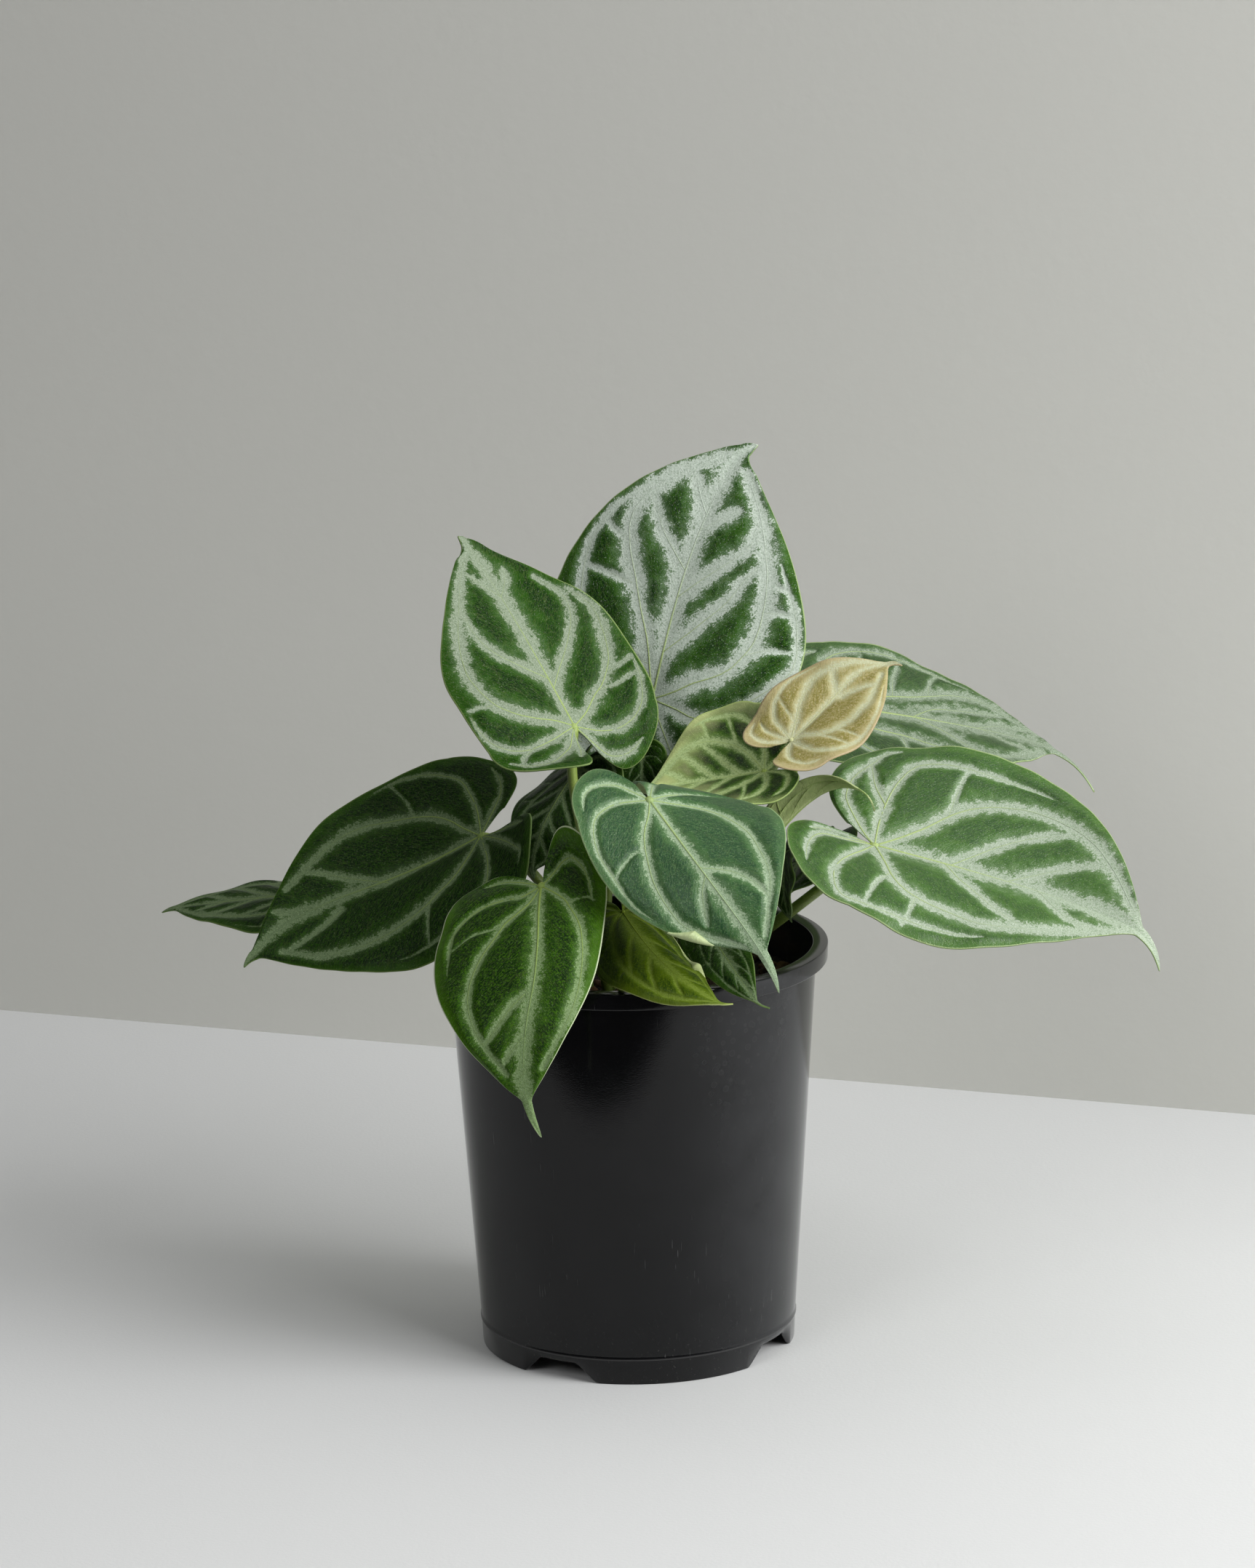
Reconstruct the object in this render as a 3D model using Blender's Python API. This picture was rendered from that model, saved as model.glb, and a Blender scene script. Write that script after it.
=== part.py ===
"""Potted anthurium with velvety, heart-shaped leaves, in a plain 140 mm nursery pot.

Metres, +Z up, resting on Z = 0, with the front of the plant towards -Y. The origin is on the
ground under the middle of the whole plant. The leaves reach a little farther to the right than
to the left, so the pot's own axis stands a few millimetres left of it.

Every leaf is one solid: a thin, curved blade with its leaf stalk (petiole) grown into it at the
joint. Each stalk stands in a plain hole in the potting mix, close round the short stem.
"""

import math
from dataclasses import dataclass

import bmesh
import bpy
import numpy as np
from mathutils import Euler, Matrix, Vector

# Where the pot's axis stands
POT_AXIS_X = -0.0055
POT_AXIS_Y = 0.0005

# Pot: a common 140 mm nursery pot, measured over its rim
RIM_RADIUS = 0.070
POT_HEIGHT = 0.147
RIM_DEPTH = 0.006
RIM_DRAFT = 0.0002
RIM_EDGE = 0.0006
WALL = 0.0016
WALL_TOP_RADIUS = 0.0657
SEAM_RADIUS = 0.0568
SEAM_HEIGHT = 0.0093
FOOT_RADIUS = 0.0564
POT_SIDES = 48

# The four notches in the foot, and the holes in the base plate
NOTCH_COUNT = 4
NOTCH_TURN = math.radians(-121)
NOTCH_WIDTH_BOTTOM = 0.030
NOTCH_WIDTH_TOP = 0.015
NOTCH_HEIGHT = 0.0068
NOTCH_REACH = 0.020
NOTCH_BELOW = 0.004
DRAIN_COUNT = 8
DRAIN_RADIUS = 0.0045
DRAIN_RING_RADIUS = 0.040
DRAIN_SIDES = 12

# Potting mix
MIX_TOP = 0.130
MIX_GAP = 0.0003
MIX_SIDE_GAP = 0.00045
MIX_RINGS = 8
MIX_SIDES = 28
CHIP_COUNT = 40
CHIP_REACH = 0.056
CHIP_RISE = 0.0022
CHIP_SPREAD = 0.0075
CHIP_SEED = 11

# Short stem in the middle of the stalks
STEM_X = 0.004
STEM_Y = 0.004
STEM_RADIUS = 0.0048
STEM_TOP = 0.143
STEM_BULGE = 1.05
STEM_SIDES = 10

# Stalks
HOLE_DEPTH = 0.010
HOLE_GAP = 0.0003
HOLE_ABOVE = 0.020
HOLE_SIDES = 8
STALK_STRAIGHT = 0.004
STALK_SIDES = 6
STALK_STEPS = 8
STALK_SWELL = 1.12
STALK_END = 0.8

# Blades: the outline's formula is in shares of the length and of the half width
BLADE_THICKNESS = 0.0008
WIDEST_AT = 0.24
WIDTH_AT_JOINT = 0.93
DRIP_WIDTH = 0.05
BODY_POWER = 2.1
DRIP_POWER = 0.8
DRIP_START = 8
LOBE_POWER = 1.6
LOBE_ROUND = 0.45
LOBE_ROUND_POWER = 10
LOBE_BEND = 0.75
ROW_SPACING = 1.15
WAVES = 3
LOBE_WAVES = 0.3
MIDRIB_STEPS = 200

# Mesh of a blade: columns from midrib to margin, rows round a lobe and on to the tip
COLUMNS = (0.0, 0.4, 0.75, 1.0)
LOBE_ROWS = 5
FRONT_ROWS = 8
SMALL_LEAF = 0.056
SMALL_COLUMNS = (0.0, 0.55, 1.0)
SMALL_LOBE_ROWS = 4
SMALL_FRONT_ROWS = 6


@dataclass(frozen=True)
class Leaf:
    """One leaf as measured: places in metres from the pot's axis, angles in degrees.

    Pairs are (left, right), seen from above by someone looking from the joint to the tip.
    """

    joint: tuple
    heading: float
    climb: float
    bank: float
    length: float
    half_width: tuple
    foot: tuple
    stalk: float = 0.0017
    droop: float = 0
    sweep: float = 0
    twist: float = 0
    fold: tuple = (8, 8)
    curl: tuple = (-12, -12)
    flick: float = 0
    turn: float = 0
    tip: float = 0.08
    lobe: tuple = (0.75, 0.75)
    lift: tuple = (0, 0)
    sinus: tuple = (14, 14)
    wave: float = 0.001
    knee: float = 35
    lean: float = 0.4
    rise: float = 0.4
    reach: float = 0.3
    colour: tuple = (0.06, 0.16, 0.06)


SILVER = (0.30, 0.40, 0.30)
DARK = (0.03, 0.09, 0.035)
MID_GREEN = (0.07, 0.20, 0.06)
LIME = (0.30, 0.42, 0.10)
TAN = (0.42, 0.36, 0.18)
PALE = (0.50, 0.58, 0.36)

LEAVES = {
    "leaf_back_tall": Leaf(
        joint=(0.009, 0.042, 0.226), heading=43, climb=71, bank=13,
        length=0.102, half_width=(0.051, 0.052), foot=(0.002, 0.0135), stalk=0.0020,
        droop=20, sweep=-16, twist=4, fold=(10, 0), curl=(-14, -26), turn=-40,
        tip=0.04, knee=40, lean=0.9, colour=SILVER),
    "leaf_upper_left": Leaf(
        joint=(-0.019, -0.008, 0.228), heading=134, climb=50, bank=6,
        length=0.083, half_width=(0.040, 0.038), foot=(-0.008, -0.003), stalk=0.0018,
        droop=4, sweep=6, fold=(0, 2), curl=(-34, 36), flick=30, turn=55,
        tip=0.03, lobe=(0.65, 0.60), lift=(80, -30), sinus=(30, 30), knee=40, colour=SILVER),
    "leaf_left": Leaf(
        joint=(-0.053, 0.007, 0.185), heading=-179, climb=-28, bank=-19,
        length=0.098, half_width=(0.042, 0.040), foot=(-0.016, -0.006), stalk=0.0019,
        droop=-14, sweep=16, twist=-22, fold=(8, 16), curl=(-36, 12), flick=-15, turn=30,
        tip=0.06, lobe=(0.70, 0.65), lift=(45, -10), sinus=(34, 34), colour=DARK),
    "leaf_far_left": Leaf(
        joint=(-0.105, 0.042, 0.157), heading=167, climb=-8, bank=-7,
        length=0.070, half_width=(0.025, 0.024), foot=(-0.016, 0.008),
        droop=2, sweep=-2, twist=-8, fold=(2, 4), curl=(-16, -30), flick=-15, turn=5,
        tip=0.07, lean=0.9, rise=0.5, reach=0.35, colour=MID_GREEN),
    "leaf_front_hanging": Leaf(
        joint=(-0.031, -0.054, 0.182), heading=-100, climb=-32, bank=9,
        length=0.103, half_width=(0.025, 0.038), foot=(-0.009, -0.016), stalk=0.0018,
        droop=96, sweep=-8, twist=-12, fold=(6, -6), curl=(-28, -14), flick=-15, turn=25,
        tip=0.18, lobe=(0.75, 0.42), lift=(50, -20), sinus=(10, 55), colour=MID_GREEN),
    "leaf_front_middle": Leaf(
        joint=(0.007, -0.050, 0.211), heading=-61, climb=-26, bank=15,
        length=0.090, half_width=(0.038, 0.030), foot=(0.002, -0.012), stalk=0.0018,
        droop=74, sweep=36, twist=66, fold=(-18, 4), curl=(-12, 0), flick=-5, turn=-5,
        tip=0.18, lift=(-40, -5), sinus=(12, 12), colour=DARK),
    "leaf_young_tan": Leaf(
        joint=(0.0575, -0.008, 0.2215), heading=29, climb=33, bank=16,
        length=0.051, half_width=(0.020, 0.022), foot=(0.013, -0.003), stalk=0.0013,
        droop=8, sweep=-8, twist=22, fold=(14, 8), curl=(-2, -16), flick=-5, turn=-65,
        tip=0.10, lobe=(0.70, 0.75), lift=(25, 25), sinus=(22, 22), knee=12, reach=0.5, colour=TAN),
    "leaf_right": Leaf(
        joint=(0.086, -0.021, 0.186), heading=-12, climb=-13, bank=15,
        length=0.115, half_width=(0.052, 0.048), foot=(0.022, -0.008), stalk=0.0020,
        droop=-2, sweep=-28, twist=14, fold=(20, 16), curl=(-2, -34), flick=-65, turn=5,
        tip=0.13, lobe=(0.50, 0.28), lift=(0, 14), sinus=(32, -27), lean=1.7, rise=0.45, colour=SILVER),
    "leaf_back_right": Leaf(
        joint=(0.076, 0.060, 0.218), heading=14, climb=-12, bank=27,
        length=0.109, half_width=(0.038, 0.038), foot=(0.020, 0.013), stalk=0.0019,
        droop=16, twist=-12, fold=(-4, 6), curl=(16, -8), flick=-5, turn=-60,
        tip=0.19, colour=SILVER),
    "leaf_front_olive": Leaf(
        joint=(-0.003, -0.042, 0.169), heading=-69, climb=-18, bank=11,
        length=0.065, half_width=(0.019, 0.020), foot=(-0.004, -0.024), stalk=0.0012,
        droop=22, sweep=48, twist=-6, fold=(-6, -2), curl=(-62, -58), flick=20, turn=25,
        tip=0.06, colour=LIME),
    "leaf_front_small": Leaf(
        joint=(0.026, -0.032, 0.161), heading=-74, climb=-13, bank=14,
        length=0.054, half_width=(0.010, 0.012), foot=(0.011, -0.021), stalk=0.0012,
        droop=30, sweep=12, twist=4, fold=(10, 2), curl=(-8, -28), flick=15, turn=40,
        tip=0.10, colour=MID_GREEN),
    "leaf_middle_lime": Leaf(
        joint=(0.048, 0.002, 0.208), heading=178, climb=-9, bank=-14,
        length=0.046, half_width=(0.027, 0.030), foot=(0.011, 0.010), stalk=0.0014,
        droop=-4, twist=2, fold=(8, 20), curl=(-12, 30), flick=-15, turn=50,
        tip=0.10, lobe=(0.35, 0.37), lift=(5, 0), sinus=(18, 18), colour=LIME),
    "leaf_inner_right": Leaf(
        joint=(0.0545, -0.028, 0.186), heading=-104, climb=-69, bank=43,
        length=0.025, half_width=(0.011, 0.011), foot=(0.023, -0.018), stalk=0.0012,
        droop=28, sweep=6, fold=(14, 8), curl=(12, -10), turn=5,
        tip=0.07, lobe=(0.50, 0.50), colour=DARK),
    "leaf_inner_left": Leaf(
        joint=(-0.018, 0.011, 0.2085), heading=-149, climb=-48, bank=-1,
        length=0.044, half_width=(0.021, 0.023), foot=(-0.009, 0.004), stalk=0.0013,
        droop=40, sweep=6, twist=-44, fold=(-20, -16), curl=(-10, -10), flick=-20, turn=10,
        tip=0.06, lobe=(0.45, 0.45), colour=DARK),
    "leaf_unfurling": Leaf(
        joint=(0.050, -0.007, 0.185), heading=0, climb=50, bank=-50,
        length=0.054, half_width=(0.0085, 0.0095), foot=(0.019, -0.001), stalk=0.0012,
        droop=120, fold=(25, 25), curl=(40, 40), tip=0.20, lobe=(0.60, 0.60),
        sinus=(10, 10), wave=0, knee=35, colour=PALE),
    "leaf_low_right": Leaf(
        joint=(0.067, 0.008, 0.178), heading=-150, climb=-30, bank=10,
        length=0.038, half_width=(0.020, 0.018), foot=(0.026, 0.000), stalk=0.0013,
        droop=20, fold=(4, 4), curl=(-15, -15), tip=0.07, colour=DARK),
    "leaf_inner_top": Leaf(
        joint=(0.005, 0.0185, 0.2105), heading=-100, climb=-80, bank=0,
        length=0.026, half_width=(0.010, 0.009), foot=(-0.004, 0.0095), stalk=0.0012,
        droop=10, fold=(15, 15), curl=(-10, -10), lobe=(0.70, 0.70), colour=DARK),
    "leaf_rear_left": Leaf(
        joint=(-0.019, 0.038, 0.176), heading=98, climb=-8, bank=0,
        length=0.050, half_width=(0.021, 0.020), foot=(-0.008, 0.017), stalk=0.0015,
        droop=30, tip=0.10, colour=MID_GREEN),
    "leaf_rear_right": Leaf(
        joint=(0.045, 0.047, 0.166), heading=66, climb=-5, bank=0,
        length=0.048, half_width=(0.018, 0.019), foot=(0.014, 0.020), stalk=0.0014,
        droop=30, tip=0.10, colour=MID_GREEN),
}


# Scene helpers

def clear_scene():
    """Removes every object that the file opens with."""
    for old in list(bpy.data.objects):
        bpy.data.objects.remove(old, do_unlink=True)


def make_material(name, colour, roughness, metallic=0.0):
    """A plain Principled material."""
    material = bpy.data.materials.new(name)
    material.use_nodes = True
    shader = material.node_tree.nodes["Principled BSDF"]
    shader.inputs["Base Color"].default_value = (*colour, 1.0)
    shader.inputs["Roughness"].default_value = roughness
    shader.inputs["Metallic"].default_value = metallic
    return material


def add_object(name, mesh, parent, material=None):
    """Links a mesh into the scene under the pot's axis."""
    thing = bpy.data.objects.new(name, mesh)
    bpy.context.scene.collection.objects.link(thing)
    thing.parent = parent
    if material:
        mesh.materials.append(material)
    mesh.shade_smooth()
    mesh.set_sharp_from_angle(angle=math.radians(35))
    return thing


def hide_tool(tool):
    """Marks an object as a cutter or a joining tool, which is no piece of its own."""
    tool.hide_render = True
    tool.display_type = "WIRE"
    return tool


def boolean(target, tool, operation):
    """Joins or cuts the target with the tool, live."""
    step = target.modifiers.new(tool.name, "BOOLEAN")
    step.operation = operation
    step.solver = "EXACT"
    step.object = tool


def mesh_from(name, points, faces):
    """A mesh from points and faces."""
    mesh = bpy.data.meshes.new(name)
    mesh.from_pydata([tuple(map(float, point)) for point in points], [], faces)
    mesh.update()
    return mesh


def stacked_rings(rings, close=True):
    """Faces between rings of equal size, with both ends closed by one flat face each."""
    sides = len(rings[0])
    points = [point for ring in rings for point in ring]
    faces = []
    for level in range(len(rings) - 1):
        for side in range(sides):
            after = (side + 1) % sides
            low = level * sides
            high = low + sides
            faces.append((low + side, low + after, high + after, high + side))
    if close:
        faces.append(tuple(reversed(range(sides))))
        last = (len(rings) - 1) * sides
        faces.append(tuple(range(last, last + sides)))
    return points, faces


# Pot

def wall_radius(height):
    """Outer radius of the pot's wall at a height above the ground."""
    share = (height - SEAM_HEIGHT) / (POT_HEIGHT - RIM_DEPTH - SEAM_HEIGHT)
    return SEAM_RADIUS + share * (WALL_TOP_RADIUS - SEAM_RADIUS)


def pot_mesh():
    """Pot wall with its skirt, raised base plate and down-turned rim, as one turned profile."""
    rim_low = POT_HEIGHT - RIM_DEPTH
    top_outer = wall_radius(POT_HEIGHT)
    plate_low = SEAM_HEIGHT - WALL
    profile = [
        (0.0, plate_low),
        (FOOT_RADIUS - WALL, plate_low),
        (FOOT_RADIUS - WALL, 0.0),
        (FOOT_RADIUS, 0.0),
        (SEAM_RADIUS, SEAM_HEIGHT),
        (wall_radius(POT_HEIGHT - WALL), POT_HEIGHT - WALL),
        (RIM_RADIUS - WALL, POT_HEIGHT - WALL),
        (RIM_RADIUS - WALL, rim_low),
        (RIM_RADIUS - RIM_DRAFT, rim_low),
        (RIM_RADIUS, POT_HEIGHT - RIM_EDGE),
        (RIM_RADIUS - RIM_EDGE, POT_HEIGHT),
        (top_outer - WALL, POT_HEIGHT),
        (SEAM_RADIUS - WALL, SEAM_HEIGHT),
        (0.0, SEAM_HEIGHT),
    ]
    return turned_mesh("pot", profile, POT_SIDES)


def turned_mesh(name, profile, sides):
    """Spins an open profile whose two ends lie on the axis into one closed body."""
    shape = bmesh.new()
    points = [shape.verts.new((radius, 0, height)) for radius, height in profile]
    edges = [shape.edges.new((a, b)) for a, b in zip(points, points[1:])]
    bmesh.ops.spin(shape, geom=points + edges, cent=(0, 0, 0), axis=(0, 0, 1), dvec=(0, 0, 0),
                   angle=math.tau, steps=sides, use_merge=True, use_duplicate=False)
    bmesh.ops.remove_doubles(shape, verts=shape.verts[:], dist=1e-6)
    bmesh.ops.recalc_face_normals(shape, faces=shape.faces[:])
    mesh = bpy.data.meshes.new(name)
    shape.to_mesh(mesh)
    shape.free()
    return mesh


def notch_mesh():
    """The four wedge-shaped cutters of the foot, one for each quarter turn."""
    half_low = NOTCH_WIDTH_BOTTOM / 2
    half_high = NOTCH_WIDTH_TOP / 2
    slope = (half_low - half_high) / NOTCH_HEIGHT
    half_below = half_low + slope * NOTCH_BELOW
    outline = [(-half_below, -NOTCH_BELOW), (half_below, -NOTCH_BELOW),
               (half_high, NOTCH_HEIGHT), (-half_high, NOTCH_HEIGHT)]
    near = FOOT_RADIUS - NOTCH_REACH / 2
    far = FOOT_RADIUS + NOTCH_REACH / 2
    points = []
    faces = []
    for number in range(NOTCH_COUNT):
        turn = Matrix.Rotation(NOTCH_TURN + number * math.tau / NOTCH_COUNT, 3, "Z")
        rings = [[turn @ Vector((out, across, height)) for across, height in outline]
                 for out in (near, far)]
        more, quads = stacked_rings(rings)
        start = len(points)
        points += more
        faces += [tuple(start + index for index in quad) for quad in quads]
    return mesh_from("notches", points, faces)


def round_cutters(name, places, radius, low, high, sides):
    """Upright round cutters at the given places."""
    points = []
    faces = []
    for (x, y), size in zip(places, radius):
        grow = size / math.cos(math.pi / sides)
        rings = [[(x + grow * math.cos(math.tau * k / sides), y + grow * math.sin(math.tau * k / sides), z)
                  for k in range(sides)] for z in (low, high)]
        more, quads = stacked_rings(rings)
        start = len(points)
        points += more
        faces += [tuple(start + index for index in quad) for quad in quads]
    return mesh_from(name, points, faces)


def make_pot(axis):
    """The pot, with its notches and drain holes cut."""
    black = make_material("black_plastic", (0.012, 0.012, 0.013), 0.38)
    pot = add_object("pot", pot_mesh(), axis, black)
    notches = hide_tool(add_object("notches", notch_mesh(), axis))
    boolean(pot, notches, "DIFFERENCE")
    ring = [(DRAIN_RING_RADIUS * math.cos(math.tau * (k + 0.5) / DRAIN_COUNT),
             DRAIN_RING_RADIUS * math.sin(math.tau * (k + 0.5) / DRAIN_COUNT)) for k in range(DRAIN_COUNT)]
    drains = round_cutters("drains", ring, [DRAIN_RADIUS] * DRAIN_COUNT,
                           SEAM_HEIGHT - 3 * WALL, SEAM_HEIGHT + 2 * WALL, DRAIN_SIDES)
    boolean(pot, hide_tool(add_object("drains", drains, axis)), "DIFFERENCE")
    return pot


# Potting mix and stem

def chip_places():
    """Bark chips strewn over the top: place, spread and rise of each."""
    draw = np.random.default_rng(CHIP_SEED)
    radius = CHIP_REACH * np.sqrt(draw.uniform(0, 1, CHIP_COUNT))
    angle = draw.uniform(0, math.tau, CHIP_COUNT)
    spread = CHIP_SPREAD * draw.uniform(0.6, 1.2, CHIP_COUNT)
    rise = CHIP_RISE * draw.uniform(-0.6, 1.0, CHIP_COUNT)
    return radius * np.cos(angle), radius * np.sin(angle), spread, rise


def mix_height(x, y):
    """Height of the potting mix: flat, with soft rises and dips of chips."""
    cx, cy, spread, rise = chip_places()
    x = np.asarray(x)[..., None]
    y = np.asarray(y)[..., None]
    bumps = rise * np.exp(-((x - cx) ** 2 + (y - cy) ** 2) / (2 * (spread / 2) ** 2))
    return MIX_TOP + np.clip(bumps.sum(-1), -CHIP_RISE, CHIP_RISE)


def mix_mesh():
    """The body of potting mix that fills the pot, with an uneven top."""
    low = SEAM_HEIGHT + MIX_GAP
    low_radius = SEAM_RADIUS - WALL - MIX_SIDE_GAP
    edge_radius = wall_radius(MIX_TOP - CHIP_RISE) - WALL - MIX_SIDE_GAP
    angles = np.arange(MIX_SIDES) * math.tau / MIX_SIDES
    rings = [[(low_radius * math.cos(a), low_radius * math.sin(a), low) for a in angles]]
    for radius in np.linspace(edge_radius, edge_radius / MIX_RINGS, MIX_RINGS):
        x = radius * np.cos(angles)
        y = radius * np.sin(angles)
        rings.append(list(zip(x, y, mix_height(x, y))))
    points, faces = stacked_rings(rings, close=False)
    faces.append(tuple(reversed(range(MIX_SIDES))))
    centre = len(points)
    points.append((0.0, 0.0, float(mix_height(0.0, 0.0))))
    last = MIX_RINGS * MIX_SIDES
    faces += [(last + side, last + (side + 1) % MIX_SIDES, centre) for side in range(MIX_SIDES)]
    mesh = mesh_from("potting_mix", points, faces)
    shape = bmesh.new()
    shape.from_mesh(mesh)
    bmesh.ops.triangulate(shape, faces=[face for face in shape.faces if len(face.verts) == 4])
    bmesh.ops.recalc_face_normals(shape, faces=shape.faces[:])
    shape.to_mesh(mesh)
    shape.free()
    return mesh


def make_mix(axis):
    """The potting mix, with a plain hole for the stem and for each stalk."""
    brown = make_material("potting_mix", (0.045, 0.028, 0.018), 0.95)
    mix = add_object("potting_mix", mix_mesh(), axis, brown)
    places = [(STEM_X, STEM_Y)] + [leaf.foot for leaf in LEAVES.values()]
    sizes = [STEM_RADIUS * STEM_BULGE + HOLE_GAP]
    sizes += [foot_radius(leaf) + HOLE_GAP for leaf in LEAVES.values()]
    holes = round_cutters("planting_holes", places, sizes, MIX_TOP - HOLE_DEPTH,
                          MIX_TOP + HOLE_ABOVE, HOLE_SIDES)
    boolean(mix, hide_tool(add_object("planting_holes", holes, axis)), "DIFFERENCE")
    return mix


def make_stem(axis):
    """The short stem, ringed by the scars of leaves that it has dropped."""
    bottom = MIX_TOP - HOLE_DEPTH + HOLE_GAP
    levels = [(bottom, 0.9), (MIX_TOP, 1.0), (MIX_TOP + 0.003, STEM_BULGE), (MIX_TOP + 0.005, 0.9),
              (MIX_TOP + 0.008, 1.0), (MIX_TOP + 0.010, 0.82), (STEM_TOP, 0.6)]
    rings = []
    for height, size in levels:
        radius = STEM_RADIUS * size
        rings.append([(STEM_X + radius * math.cos(math.tau * k / STEM_SIDES),
                       STEM_Y + radius * math.sin(math.tau * k / STEM_SIDES), height)
                      for k in range(STEM_SIDES)])
    points, faces = stacked_rings(rings)
    bark = make_material("stem", (0.16, 0.15, 0.06), 0.75)
    return add_object("stem", mesh_from("stem", points, faces), axis, bark)


# Leaves

def smooth_step(share):
    """0 below 0, 1 above 1, and a soft step between."""
    share = np.clip(share, 0, 1)
    return share * share * (3 - 2 * share)


def half_width_share(u, tip):
    """Half width over the widest half width, at share u of the way from joint to tip.

    The body is widest at WIDEST_AT and falls as 1 - v**BODY_POWER; a narrow drip tip runs on
    over the last share `tip` of the length.
    """
    body_end = 1 - tip
    widest = WIDEST_AT * body_end
    fall = np.clip((u / body_end - WIDEST_AT) / (1 - WIDEST_AT), 0, 1)
    back = np.clip((widest - u) / widest, 0, 1)
    body = np.where(u < widest, 1 - (1 - WIDTH_AT_JOINT) * back ** 2, 1 - fall ** BODY_POWER)
    drip = DRIP_WIDTH * np.clip((1 - u) / tip, 0, 1) ** DRIP_POWER * np.clip(u / body_end, 0, 1) ** DRIP_START
    return np.sqrt(np.clip(body, 0, 1) ** 2 + drip ** 2)


def lobe_share(turn, size):
    """Lobe radius over the half width, for turn 0 (square to the midrib) to 1 (at the sinus)."""
    swell = 1 + (size / WIDTH_AT_JOINT - 1) * turn ** LOBE_POWER
    return WIDTH_AT_JOINT * swell * (1 - LOBE_ROUND * turn ** LOBE_ROUND_POWER)


def blade_points(leaf, along, across, share, row, side):
    """Blade points in the leaf's own frame: X to the tip, Y to the left, Z off the upper face.

    along and across are flat distances from the joint, along and square to the midrib. The
    midrib bends by droop and sweep as the square of the way along, and by flick and turn near the
    tip. Square to it each half is an arc that starts at the fold angle and bends by curl.
    """
    n = MIDRIB_STEPS
    way = np.linspace(0, 1, n + 1)
    tip_start = 1 - max(leaf.tip * 1.6, 0.12)
    near_tip = smooth_step((way - tip_start) / (1 - tip_start))
    pitch = np.radians(leaf.flick * near_tip - leaf.droop * way ** 2)
    yaw = np.radians(leaf.sweep * way ** 2 + leaf.turn * near_tip)
    step = np.stack([np.cos(pitch) * np.cos(yaw), np.cos(pitch) * np.sin(yaw), np.sin(pitch)], 1)
    midrib = np.zeros((n + 1, 3))
    midrib[1:] = np.cumsum((step[1:] + step[:-1]) / 2 * leaf.length / n, axis=0)
    u = np.clip(along / leaf.length, 0, 1)
    centre = np.stack([np.interp(u, way, midrib[:, k]) for k in range(3)], -1)
    centre[..., 0] += np.minimum(along, 0)
    pitch_here = np.interp(u, way, pitch)
    yaw_here = np.interp(u, way, yaw)
    forward = np.stack([np.cos(pitch_here) * np.cos(yaw_here),
                        np.cos(pitch_here) * np.sin(yaw_here), np.sin(pitch_here)], -1)
    left = np.stack([-np.sin(yaw_here), np.cos(yaw_here), 0 * yaw_here], -1)
    up = np.cross(forward, left)
    twist = np.radians(leaf.twist) * along / leaf.length
    cos_t = np.cos(twist)[..., None]
    sin_t = np.sin(twist)[..., None]
    left, up = cos_t * left + sin_t * up, cos_t * up - sin_t * left
    half = 0 if side > 0 else 1
    width = leaf.half_width[half]
    fold = math.radians(leaf.fold[half])
    curl = math.radians(leaf.curl[half]) or 1e-4
    angle = fold + curl * across / width
    out = width / curl * (np.sin(angle) - math.sin(fold))
    raised = width / curl * (math.cos(fold) - np.cos(angle))
    behind = np.where(along < 0, (along / (LOBE_BEND * width)) ** 2, 0)
    raised = raised + leaf.lift[half] / 100 * width * behind
    phase = 0.0 if side > 0 else 0.25
    envelope = np.sqrt(np.sin(math.pi * np.clip(row, 0, 1)))
    raised = raised + leaf.wave * share ** 2 * envelope * np.sin(math.tau * (WAVES * row + phase))
    return centre + left * (side * out)[..., None] + up * raised[..., None]


def half_blade(leaf, side, columns, lobe_rows, front_rows):
    """Rows of one half, from the sinus round the lobe and on to the last row before the tip."""
    half = 0 if side > 0 else 1
    width = leaf.half_width[half]
    share = np.asarray(columns)[None, :]
    turn = np.linspace(1, 0, lobe_rows + 1)[:-1, None]
    angle = np.radians(90 + (90 - leaf.sinus[half]) * turn)
    radius = width * lobe_share(turn, leaf.lobe[half])
    u = (1 - (1 - np.linspace(0, 1, front_rows + 1)[:-1]) ** ROW_SPACING)[:, None]
    along = np.concatenate([radius * share * np.cos(angle), leaf.length * u + 0 * share])
    across = np.concatenate([radius * share * np.sin(angle),
                             width * half_width_share(u, leaf.tip) * share])
    row = np.concatenate([(1 - turn) * LOBE_WAVES + 0 * share,
                          LOBE_WAVES + (1 - LOBE_WAVES) * u + 0 * share])
    return blade_points(leaf, along, across, share + 0 * along, row, side)


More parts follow.
